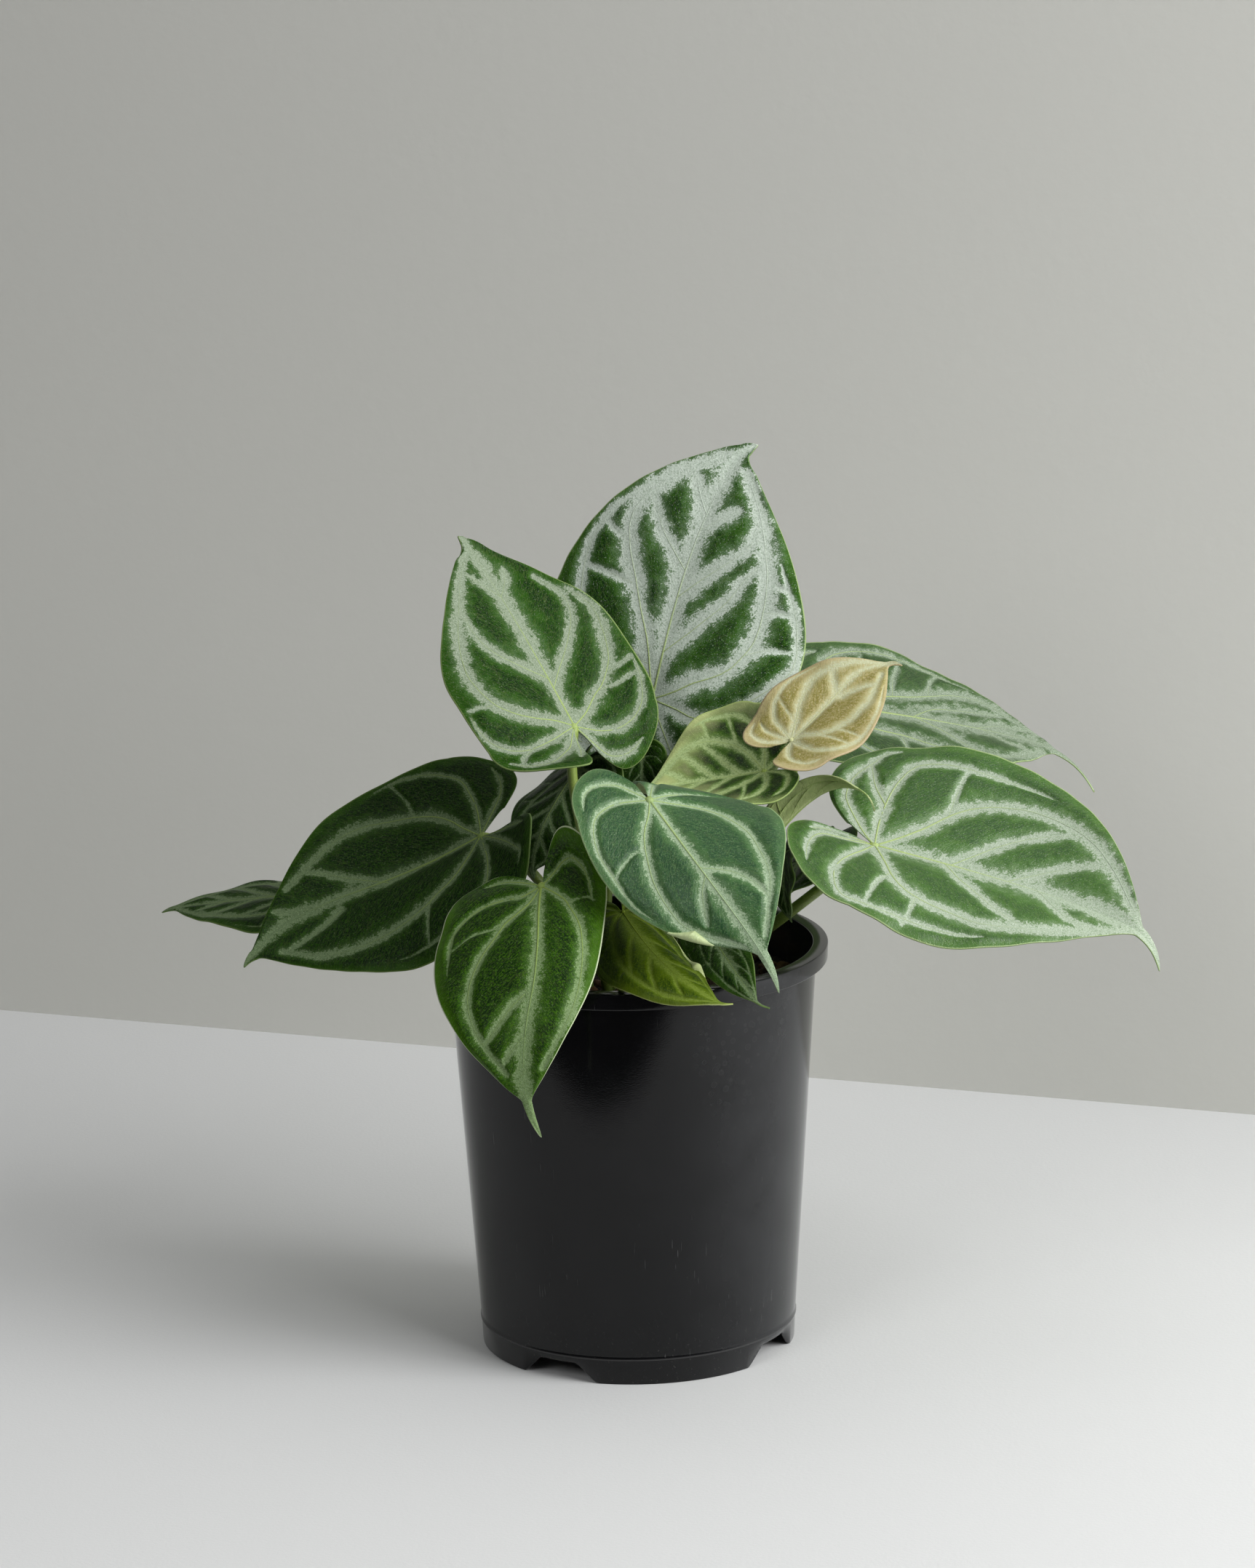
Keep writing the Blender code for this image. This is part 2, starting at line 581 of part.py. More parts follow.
def blade_skin(leaf):
    """Points and triangles of the blade's middle surface, and its edge as a closed loop."""
    small = leaf.length < SMALL_LEAF
    shares = SMALL_COLUMNS if small else COLUMNS
    lobe_rows = SMALL_LOBE_ROWS if small else LOBE_ROWS
    front_rows = SMALL_FRONT_ROWS if small else FRONT_ROWS
    columns = len(shares)
    points = [np.zeros(3)]
    grids = {}
    joint = 0
    halves = {side: half_blade(leaf, side, shares, lobe_rows, front_rows) for side in (1, -1)}
    midrib = [joint]
    for row in range(lobe_rows + 1, lobe_rows + front_rows):
        midrib.append(len(points))
        points.append(halves[1][row, 0])
    tip = len(points)
    zero = np.zeros(1)
    points.append(blade_points(leaf, np.array([leaf.length]), zero, zero, zero + 1, 1)[0])
    for side, rows in halves.items():
        grid = []
        for row in range(lobe_rows + front_rows):
            line = [midrib[max(row - lobe_rows, 0)]]
            for column in range(1, columns):
                line.append(len(points))
                points.append(rows[row, column])
            grid.append(line)
        grids[side] = grid
    triangles = []
    for side, grid in grids.items():
        for row, (near, far) in enumerate(zip(grid[:-1], grid[1:])):
            for c in range(columns - 1):
                corners = [near[c], far[c], far[c + 1], near[c + 1]]
                if side < 0:
                    corners.reverse()
                if near[c] == far[c]:
                    corners.remove(near[c])
                    triangles.append(tuple(corners))
                else:
                    triangles.append(tuple(corners[:3]))
                    triangles.append((corners[0], corners[2], corners[3]))
        last = grid[-1]
        for c in range(columns - 1):
            corners = (last[c], tip, last[c + 1])
            triangles.append(corners if side > 0 else corners[::-1])
    left_edge = grids[1][0][1:] + [line[-1] for line in grids[1][1:]]
    right_edge = grids[-1][0][1:] + [line[-1] for line in grids[-1][1:]]
    loop = [joint] + left_edge + [tip] + right_edge[::-1]
    return np.array(points), triangles, loop


def thick_sheet(points, triangles, loop, thickness):
    """A closed sheet: both faces moved half a thickness along the normals, joined at the edge."""
    normals = np.zeros_like(points)
    corner = np.array(triangles)
    face = np.cross(points[corner[:, 1]] - points[corner[:, 0]], points[corner[:, 2]] - points[corner[:, 0]])
    for k in range(3):
        np.add.at(normals, corner[:, k], face)
    normals /= np.linalg.norm(normals, axis=1)[:, None]
    count = len(points)
    both = np.concatenate([points + normals * thickness / 2, points - normals * thickness / 2])
    faces = list(triangles)
    faces += [(c + count, b + count, a + count) for a, b, c in triangles]
    for a, b in zip(loop, loop[1:] + loop[:1]):
        faces.append((a, b, b + count))
        faces.append((a, b + count, a + count))
    return both, faces


def leaf_turn(leaf):
    """Rotation from the leaf's own frame to the plant's."""
    return Euler((math.radians(leaf.bank), math.radians(-leaf.climb), math.radians(leaf.heading)), "XYZ")


def foot_radius(leaf):
    """Radius of the stalk where it stands in the mix."""
    return leaf.stalk * STALK_SWELL


def stalk_path(leaf):
    """Centre line of the stalk: straight up out of its hole, then one curve to the joint."""
    turn = leaf_turn(leaf).to_matrix()
    joint = Vector(leaf.joint)
    knee = math.radians(leaf.knee)
    arrive = turn @ Vector((math.sin(knee), 0, math.cos(knee)))
    end = joint - arrive * BLADE_THICKNESS / 2
    bottom = Vector((*leaf.foot, MIX_TOP - HOLE_DEPTH + HOLE_GAP))
    foot = Vector((*leaf.foot, MIX_TOP + STALK_STRAIGHT))
    span = (end - foot).length
    outwards = Vector((end.x - foot.x, end.y - foot.y, 0)) / span
    leave = (Vector((0, 0, 1)) + outwards * leaf.lean).normalized()
    near_foot = foot + leave * span * leaf.rise
    near_joint = end - arrive * span * leaf.reach
    path = [bottom]
    for step in range(STALK_STEPS + 1):
        t = step / STALK_STEPS
        path.append((1 - t) ** 3 * foot + 3 * (1 - t) ** 2 * t * near_foot
                    + 3 * (1 - t) * t ** 2 * near_joint + t ** 3 * end)
    return path


def stalk_mesh(leaf, name):
    """The stalk as a tube along its path, in the leaf's own frame."""
    path = stalk_path(leaf)
    turn = leaf_turn(leaf).to_matrix()
    back = turn.transposed()
    joint = Vector(leaf.joint)
    rings = []
    ahead = (path[1] - path[0]).normalized()
    across = Vector((1, 0, 0))
    for number, place in enumerate(path):
        before = path[max(number - 1, 0)]
        after = path[min(number + 1, len(path) - 1)]
        ahead = (after - before).normalized()
        if number < 2:
            ahead = Vector((0, 0, 1))
        across = (across - ahead * across.dot(ahead)).normalized()
        other = ahead.cross(across)
        size = leaf.stalk * (STALK_SWELL if number < 2 else 1.0)
        if number == len(path) - 1:
            size = leaf.stalk * STALK_END
        ring = []
        for side in range(STALK_SIDES):
            angle = math.tau * side / STALK_SIDES
            spot = place + (across * math.cos(angle) + other * math.sin(angle)) * size
            ring.append(back @ (spot - joint))
        rings.append(ring)
    points, faces = stacked_rings(rings)
    return mesh_from(name, points, faces)


def make_leaf(name, leaf, axis):
    """One leaf: its blade, joined with its stalk."""
    points, triangles, loop = blade_skin(leaf)
    both, faces = thick_sheet(points, triangles, loop, BLADE_THICKNESS)
    green = make_material(name, leaf.colour, 0.45)
    blade = add_object(name, mesh_from(name, both, faces), axis, green)
    stalk = hide_tool(add_object(name + "_stalk", stalk_mesh(leaf, name + "_stalk"), axis))
    for thing in (blade, stalk):
        thing.location = leaf.joint
        thing.rotation_euler = leaf_turn(leaf)
    boolean(blade, stalk, "UNION")
    return blade


clear_scene()
pot_axis = bpy.data.objects.new("pot_axis", None)
bpy.context.scene.collection.objects.link(pot_axis)
pot_axis.location = (POT_AXIS_X, POT_AXIS_Y, 0)
make_pot(pot_axis)
make_mix(pot_axis)
make_stem(pot_axis)
for leaf_name, leaf_values in LEAVES.items():
    make_leaf(leaf_name, leaf_values, pot_axis)
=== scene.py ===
"""Potted anthurium: velvety silver-veined leaves, black nursery pot, bark mix and a plain studio.

Lengths are in metres, and a leaf's angles in degrees. Every leaf's values are those of its solid,
so each finer blade lies where the solid is.
"""

import math
from dataclasses import dataclass

import bpy
import numpy as np
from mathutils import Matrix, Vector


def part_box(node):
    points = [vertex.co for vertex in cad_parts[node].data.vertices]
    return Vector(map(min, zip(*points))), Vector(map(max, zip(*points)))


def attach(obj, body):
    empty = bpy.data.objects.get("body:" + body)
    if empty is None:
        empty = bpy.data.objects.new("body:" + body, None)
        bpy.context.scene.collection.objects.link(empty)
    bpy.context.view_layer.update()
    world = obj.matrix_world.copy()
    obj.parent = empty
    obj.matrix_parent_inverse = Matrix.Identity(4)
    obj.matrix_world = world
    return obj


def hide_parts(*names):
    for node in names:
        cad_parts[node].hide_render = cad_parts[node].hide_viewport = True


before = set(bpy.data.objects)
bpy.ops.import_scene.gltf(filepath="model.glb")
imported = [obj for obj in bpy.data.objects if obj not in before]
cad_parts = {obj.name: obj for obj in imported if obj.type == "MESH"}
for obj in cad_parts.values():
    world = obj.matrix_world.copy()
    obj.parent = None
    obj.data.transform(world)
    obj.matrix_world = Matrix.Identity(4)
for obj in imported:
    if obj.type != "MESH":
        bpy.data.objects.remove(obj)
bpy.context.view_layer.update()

POT_LOW, POT_HIGH = (np.array(corner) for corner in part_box("pot"))
AXIS = np.array([(POT_LOW[0] + POT_HIGH[0]) / 2, (POT_LOW[1] + POT_HIGH[1]) / 2, 0.0])

# Blade outline and bend: shares of the length or the half width, powers, and counts
WIDEST_AT = 0.24
WIDTH_AT_JOINT = 0.93
DRIP_WIDTH = 0.05
BODY_POWER = 2.1
DRIP_POWER = 0.8
DRIP_START = 8
LOBE_POWER = 1.6
LOBE_ROUND = 0.45
LOBE_ROUND_POWER = 10
LOBE_BEND = 0.75
MARGIN_WAVES = 3
LOBE_WAVES = 0.3
MIDRIB_STEPS = 200
FLICK_REACH = 1.6
FLICK_LEAST = 0.12

# Fine blade mesh and its relief; waves are (height, radians per metre along and across, phase).
# Relief begins at OFF_VEIN in the band field, which is 1 at the edge of a pale band, and is full
# at QUILT_RISE or RIPPLE_RISE beyond that.
BLADE_THICKNESS = 0.00055
CELL = 0.00082
LOBE_ROWS = 1.1
ROW_CROWDING = 1.1
FULL_SIZE_LENGTH = 0.09
QUILT = 0.0010
QUILT_MARGIN = 0.006
QUILT_RISE = 2.4
RIPPLE = 0.00028
RIPPLE_MARGIN = 0.012
RIPPLE_RISE = 1.2
RIPPLE_WAVES = ((1, 260, 170, 1), (0.6, 410, -330, 0))
OFF_VEIN = 0.2
CLEAR_OF_VEINS = 3.0
KNOB = 0.0011
KNOB_RADIUS = 0.8
KNOB_RINGS = 9
KNOB_SIDES = 14
ROLL_ANGLE = 1.05 * math.pi
ROLL_SWELL = 1.6
ROLL_STEPS = 48
ROLL_BENDS = 14
ROLL_INWARD = 0.94

# Veins: steps along each, how sharply their bands join, and the raised ribs. MIDRIB_RIB is the
# midrib's radius at the joint, the middle and the tip, over the blade's length.
VEIN_STEPS = 44
SPINE_STEPS = 60
BAND_SHARPNESS = 4.5
RIB_STEPS = 30
RIB_SIDES = 6
RIB_HEIGHT = 0.55
MIDRIB_RIB = (0.0062, 0.0036, 0.0012)

# Stalks: lengths in metres down to STALK_OFF_JOINT, then shares of a stalk's length and radius
MIX_TOP = 0.130
STALK_STRAIGHT = 0.004
STALK_STEPS = 36
STALK_SIDES = 14
STALK_BURIED = 0.006
STALK_OFF_JOINT = 0.0002
FOOT_LENGTH = 0.12
FOOT_SWELL = 0.16
KNEE_LENGTH = 0.16
KNEE_SWELL = 0.10
STALK_END_AT = 0.985
STALK_END_WIDTH = 0.82
TUBE_END = 0.4

# Pot; SEAM_PROFILE is how far each point is out from and above the seam
RIM_RADIUS = 0.070
POT_HEIGHT = 0.147
RIM_DEPTH = 0.006
RIM_ROUND = 0.0005
RIM_DRAFT = 0.0002
RIM_INNER_ROUND = 0.0004
FOOT_BEVEL = 0.0003
WALL = 0.0016
WALL_TOP_RADIUS = 0.0657
SEAM_RADIUS = 0.0568
SEAM_HEIGHT = 0.0093
SEAM_PROFILE = ((-0.00006, -0.0010), (0.00034, -0.0003), (0.00034, 0.0002), (0.00004, 0.0008))
FOOT_RADIUS = 0.0564
POT_SIDES = 240
NOTCH_TURN = math.radians(-121)
NOTCH_WIDTH_BOTTOM = 0.030
NOTCH_WIDTH_TOP = 0.015
NOTCH_HEIGHT = 0.0068
SHARP_EDGE = math.radians(50)
PLASTIC_DEEP = (0.0016, 0.0017, 0.0020, 1)
PLASTIC_LIT = (0.0032, 0.0033, 0.0038, 1)
# Painted sheen: a lighter colour laid over the pot's right side in place of its reflections
PLASTIC_PAINTED_SHEEN = (0.026, 0.027, 0.029, 1)
# Scratch colour, also used for a painted highlight along the seam's crest
PLASTIC_SCRATCH_AND_SEAM_HIGHLIGHT = (0.10, 0.10, 0.10, 1)
DRIED_DROP = (0.12, 0.12, 0.12, 1)
DUST = (0.20, 0.19, 0.18, 1)

# Potting mix, bark chips and stem
MIX_RADIUS = 0.0632
MIX_WAVES = ((0.0009, 210, 95, 1.0), (0.0007, -160, 240, 2.1), (0.0004, 420, 380, 0))
MIX_RINGS = 60
MIX_SIDES = 160
MIX_GRAIN = 0.00035
SKIRT_SHARE = 0.97
SKIRT_DEPTH = 0.02
CHIPS = 620
CHIP_SEED = 5
CHIP_SIZE = 0.0024
CHIP_SPREAD = 0.42
CHIP_LARGEST = 0.0062
CHIP_WIDTHS = (0.4, 0.8)
CHIP_HEIGHTS = (0.2, 0.45)
CHIP_KNOBS = 0.2
CHIP_TILT = 0.35
CHIP_OFF_WALL = 0.0008
CHIP_RINGS = 6
CHIP_SIDES = 8
CHIP_POLE = 0.12
CHIP_SQUARE = 0.7
CLEAR_OF_STALK = 0.0042
CLEAR_OF_STEM = 0.008
STEM_X = 0.004
STEM_Y = 0.004
STEM_RADIUS = 0.0048
STEM_TOP = 0.143
STEM_SCARS = 6
STEM_SCAR_DEPTH = 0.05
STEM_SUNK = 0.008
STEM_STEPS = 70
STEM_SIDES = 28
STEM_TAPER_FROM = 0.6
STEM_TAPER = 0.36

# Studio and camera; the backdrop's foot runs through two places, measured from the pot's axis
BACKDROP_LEFT = (-0.227, 0.429)
BACKDROP_RIGHT = (0.230, 0.264)
TABLE_FRONT = 0.290
STAGE_REACH = 3
BACKDROP_PAST_LEFT = 0.35
CAMERA_BACK = 2.0262
CAMERA_UP = 0.6971
CAMERA_YAW = math.radians(-0.015)
CAMERA_PITCH = math.radians(13.653)
CAMERA_ROLL = math.radians(-1.039)
LENS = 135
SENSOR = 36
SKY_COLOUR = (0.98, 0.98, 1.0, 1.0)
SKY_STRENGTH = 0.07
LIGHTS = {
    "window": dict(place=(1.45, -1.0, 1.3), target=(0.1, 0.1, 0.15), size=1.6, power=44),
    "right_side": dict(place=(1.05, -0.45, 0.6), target=(0.1, 0.1, 0.2), size=0.6, power=5),
    "front_left": dict(place=(-0.75, -1.15, 1.05), target=(0.0, 0.0, 0.2), size=0.7, power=5.5),
    "overhead": dict(place=(0.2, 0.15, 2.6), target=(0.1, 0.1, 0.0), size=2.6, power=19),
}


@dataclass(frozen=True)
class Leaf:
    """One leaf: its form as in the solid, and its veins and colours.

    Pairs are (left, right), seen from the joint towards the tip. heading, climb and bank place the
    blade. droop, sweep and twist bend all of it, flick and turn its tip, and fold and curl bend it
    across. lift raises the lobes, in hundredths of the half width, and sinus is the angle from the
    midrib's line back to a lobe's edge. The stalk meets the blade knee degrees off square, and lean,
    rise and reach shape its curve. silver widens the pale bands along the veins.
    """

    joint: tuple
    heading: float
    climb: float
    bank: float
    length: float
    half_width: tuple
    foot: tuple
    stalk: float = 0.0017
    droop: float = 0
    sweep: float = 0
    twist: float = 0
    fold: tuple = (8, 8)
    curl: tuple = (-12, -12)
    flick: float = 0
    turn: float = 0
    tip: float = 0.08
    lobe: tuple = (0.75, 0.75)
    lift: tuple = (0, 0)
    sinus: tuple = (14, 14)
    wave: float = 0.001
    knee: float = 35
    lean: float = 0.4
    rise: float = 0.4
    reach: float = 0.3
    look: str = "green"
    silver: float = 1.0


LEAVES = {
    "leaf_back_tall": Leaf(
        joint=(0.009, 0.042, 0.226), heading=43, climb=71, bank=13,
        length=0.102, half_width=(0.051, 0.052), foot=(0.002, 0.0135), stalk=0.0020,
        droop=20, sweep=-16, twist=4, fold=(10, 0), curl=(-14, -26), turn=-40,
        tip=0.04, knee=40, lean=0.9, look="silver", silver=1.45),
    "leaf_upper_left": Leaf(
        joint=(-0.019, -0.008, 0.228), heading=134, climb=50, bank=6,
        length=0.083, half_width=(0.040, 0.038), foot=(-0.008, -0.003), stalk=0.0018,
        droop=4, sweep=6, fold=(0, 2), curl=(-34, 36), flick=30, turn=55,
        tip=0.03, lobe=(0.65, 0.60), lift=(80, -30), sinus=(30, 30), knee=40,
        look="upper", silver=1.4),
    "leaf_left": Leaf(
        joint=(-0.053, 0.007, 0.185), heading=-179, climb=-28, bank=-19,
        length=0.098, half_width=(0.042, 0.040), foot=(-0.016, -0.006), stalk=0.0019,
        droop=-14, sweep=16, twist=-22, fold=(8, 16), curl=(-36, 12), flick=-15, turn=30,
        tip=0.06, lobe=(0.70, 0.65), lift=(45, -10), sinus=(34, 34), look="dark", silver=0.95),
    "leaf_far_left": Leaf(
        joint=(-0.105, 0.042, 0.157), heading=167, climb=-8, bank=-7,
        length=0.070, half_width=(0.025, 0.024), foot=(-0.016, 0.008),
        droop=2, sweep=-2, twist=-8, fold=(2, 4), curl=(-16, -30), flick=-15, turn=5,
        tip=0.07, lean=0.9, rise=0.5, reach=0.35, look="dark", silver=1.3),
    "leaf_front_hanging": Leaf(
        joint=(-0.031, -0.054, 0.182), heading=-100, climb=-32, bank=9,
        length=0.103, half_width=(0.025, 0.038), foot=(-0.009, -0.016), stalk=0.0018,
        droop=96, sweep=-8, twist=-12, fold=(6, -6), curl=(-28, -14), flick=-15, turn=25,
        tip=0.18, lobe=(0.75, 0.42), lift=(50, -20), sinus=(10, 55), look="green", silver=1.05),
    "leaf_front_middle": Leaf(
        joint=(0.007, -0.050, 0.211), heading=-61, climb=-26, bank=15,
        length=0.090, half_width=(0.038, 0.030), foot=(0.002, -0.012), stalk=0.0018,
        droop=74, sweep=36, twist=66, fold=(-18, 4), curl=(-12, 0), flick=-5, turn=-5,
        tip=0.18, lift=(-40, -5), sinus=(12, 12), look="blue", silver=0.95),
    "leaf_young_tan": Leaf(
        joint=(0.0575, -0.008, 0.2215), heading=29, climb=33, bank=16,
        length=0.051, half_width=(0.020, 0.022), foot=(0.013, -0.003), stalk=0.0013,
        droop=8, sweep=-8, twist=22, fold=(14, 8), curl=(-2, -16), flick=-5, turn=-65,
        tip=0.10, lobe=(0.70, 0.75), lift=(25, 25), sinus=(22, 22), knee=12, reach=0.5,
        look="tan", silver=1.1),
    "leaf_right": Leaf(
        joint=(0.086, -0.021, 0.186), heading=-12, climb=-13, bank=15,
        length=0.115, half_width=(0.052, 0.048), foot=(0.022, -0.008), stalk=0.0020,
        droop=-2, sweep=-28, twist=14, fold=(20, 16), curl=(-2, -34), flick=-65, turn=5,
        tip=0.13, lobe=(0.50, 0.28), lift=(0, 14), sinus=(32, -27), lean=1.7, rise=0.45,
        look="wide", silver=1.12),
    "leaf_back_right": Leaf(
        joint=(0.076, 0.060, 0.218), heading=14, climb=-12, bank=27,
        length=0.109, half_width=(0.038, 0.038), foot=(0.020, 0.013), stalk=0.0019,
        droop=16, twist=-12, fold=(-4, 6), curl=(16, -8), flick=-5, turn=-60,
        tip=0.19, look="mottled", silver=1.5),
    "leaf_front_olive": Leaf(
        joint=(-0.003, -0.042, 0.169), heading=-69, climb=-18, bank=11,
        length=0.065, half_width=(0.019, 0.020), foot=(-0.004, -0.024), stalk=0.0012,
        droop=22, sweep=48, twist=-6, fold=(-6, -2), curl=(-62, -58), flick=20, turn=25,
        tip=0.06, look="olive", silver=0.7),
    "leaf_front_small": Leaf(
        joint=(0.026, -0.032, 0.161), heading=-74, climb=-13, bank=14,
        length=0.054, half_width=(0.010, 0.012), foot=(0.011, -0.021), stalk=0.0012,
        droop=30, sweep=12, twist=4, fold=(10, 2), curl=(-8, -28), flick=15, turn=40,
        tip=0.10, look="dark", silver=0.6),
    "leaf_middle_lime": Leaf(
        joint=(0.048, 0.002, 0.208), heading=178, climb=-9, bank=-14,
        length=0.046, half_width=(0.027, 0.030), foot=(0.011, 0.010), stalk=0.0014,
        droop=-4, twist=2, fold=(8, 20), curl=(-12, 30), flick=-15, turn=50,
        tip=0.10, lobe=(0.35, 0.37), lift=(5, 0), sinus=(18, 18), look="lime", silver=1.0),
    "leaf_inner_right": Leaf(
        joint=(0.0545, -0.028, 0.186), heading=-104, climb=-69, bank=43,
        length=0.025, half_width=(0.011, 0.011), foot=(0.023, -0.018), stalk=0.0012,
        droop=28, sweep=6, fold=(14, 8), curl=(12, -10), turn=5,
        tip=0.07, lobe=(0.50, 0.50), look="dark", silver=0.6),
    "leaf_inner_left": Leaf(
        joint=(-0.018, 0.011, 0.2085), heading=-149, climb=-48, bank=-1,
        length=0.044, half_width=(0.021, 0.023), foot=(-0.009, 0.004), stalk=0.0013,
        droop=40, sweep=6, twist=-44, fold=(-20, -16), curl=(-10, -10), flick=-20, turn=10,
        tip=0.06, lobe=(0.45, 0.45), look="dark", silver=0.8),
    "leaf_unfurling": Leaf(
        joint=(0.050, -0.007, 0.185), heading=0, climb=50, bank=-50,
        length=0.054, half_width=(0.0085, 0.0095), foot=(0.019, -0.001), stalk=0.0012,
        droop=120, fold=(25, 25), curl=(40, 40), tip=0.20, lobe=(0.60, 0.60),
        sinus=(10, 10), wave=0, knee=35, look="pale", silver=0.5),
    "leaf_low_right": Leaf(
        joint=(0.067, 0.008, 0.178), heading=-150, climb=-30, bank=10,
        length=0.038, half_width=(0.020, 0.018), foot=(0.026, 0.000), stalk=0.0013,
        droop=20, fold=(4, 4), curl=(-15, -15), tip=0.07, look="dark", silver=0.6),
    "leaf_inner_top": Leaf(
        joint=(0.005, 0.0185, 0.2105), heading=-100, climb=-80, bank=0,
        length=0.026, half_width=(0.010, 0.009), foot=(-0.004, 0.0095), stalk=0.0012,
        droop=10, fold=(15, 15), curl=(-10, -10), lobe=(0.70, 0.70), look="dark", silver=0.7),
    "leaf_rear_left": Leaf(
        joint=(-0.019, 0.038, 0.176), heading=98, climb=-8, bank=0,
        length=0.050, half_width=(0.021, 0.020), foot=(-0.008, 0.017), stalk=0.0015,
        droop=30, tip=0.10, look="green", silver=0.8),
    "leaf_rear_right": Leaf(
        joint=(0.045, 0.047, 0.166), heading=66, climb=-5, bank=0,
        length=0.048, half_width=(0.018, 0.019), foot=(0.014, 0.020), stalk=0.0014,
        droop=30, tip=0.10, look="green", silver=0.8),
}


@dataclass(frozen=True)
class Veins:
    """The veins of one half of a blade, each as (k, share) places that a smooth curve runs through.

    k is -1 at the sinus, 0 square to the joint and 1 at the tip; share is 0 at the midrib or the
    joint and 1 at the margin. midrib holds the half width of its pale band in millimetres, near
    the joint, half way along and near the tip. The arch runs from the joint to the tip, the outer
    vein out and then along inside the margin, lobes back through the lobe, sides from the midrib
    to the arch, and links from the arch to the outer vein.
    """

    midrib: tuple
    arch: tuple
    outer: tuple
    lobes: tuple = ()
    sides: tuple = ()
    links: tuple = ()


LOBE_LOOP = ((0, 0), (-0.72, 0.30), (-0.68, 0.58), (-0.50, 0.74), (-0.28, 0.83), (-0.08, 0.86))
USUAL_LEFT = Veins(
    midrib=(2.6, 2.8, 1.6),
    arch=((0, 0), (0.05, 0.15), (0.12, 0.30), (0.22, 0.44), (0.40, 0.57), (0.60, 0.67), (0.76, 0.70),
          (0.90, 0.50)),
    outer=((0, 0), (-0.08, 0.28), (-0.02, 0.52), (0.05, 0.72), (0.16, 0.83), (0.32, 0.87), (0.52, 0.90)),
    lobes=(LOBE_LOOP,),
    sides=(((0.24, 0), (0.32, 0.17), (0.42, 0.40), (0.52, 0.62)),
           ((0.45, 0), (0.53, 0.18), (0.62, 0.44), (0.70, 0.68)),
           ((0.64, 0), (0.72, 0.25), (0.79, 0.55))),
    links=(((0.15, 0.35), (0.16, 0.60), (0.18, 0.83)), ((0.34, 0.54), (0.35, 0.72), (0.38, 0.88))))
USUAL_RIGHT = Veins(
    midrib=(2.6, 2.8, 1.6),
    arch=((0, 0), (0.05, 0.17), (0.12, 0.33), (0.22, 0.47), (0.40, 0.60), (0.60, 0.69), (0.76, 0.71),
          (0.90, 0.50)),
    outer=((0, 0), (-0.10, 0.30), (-0.03, 0.55), (0.06, 0.74), (0.18, 0.85), (0.35, 0.89), (0.52, 0.91)),
    lobes=(LOBE_LOOP,),
    sides=(((0.18, 0), (0.27, 0.18), (0.37, 0.40), (0.46, 0.60)),
           ((0.38, 0), (0.47, 0.20), (0.56, 0.44), (0.64, 0.68)),
           ((0.60, 0), (0.68, 0.25), (0.75, 0.52))),
    links=(((0.18, 0.42), (0.20, 0.64), (0.22, 0.85)), ((0.40, 0.61), (0.41, 0.75), (0.43, 0.89))))

USUAL_VEINS = (USUAL_LEFT, USUAL_RIGHT)

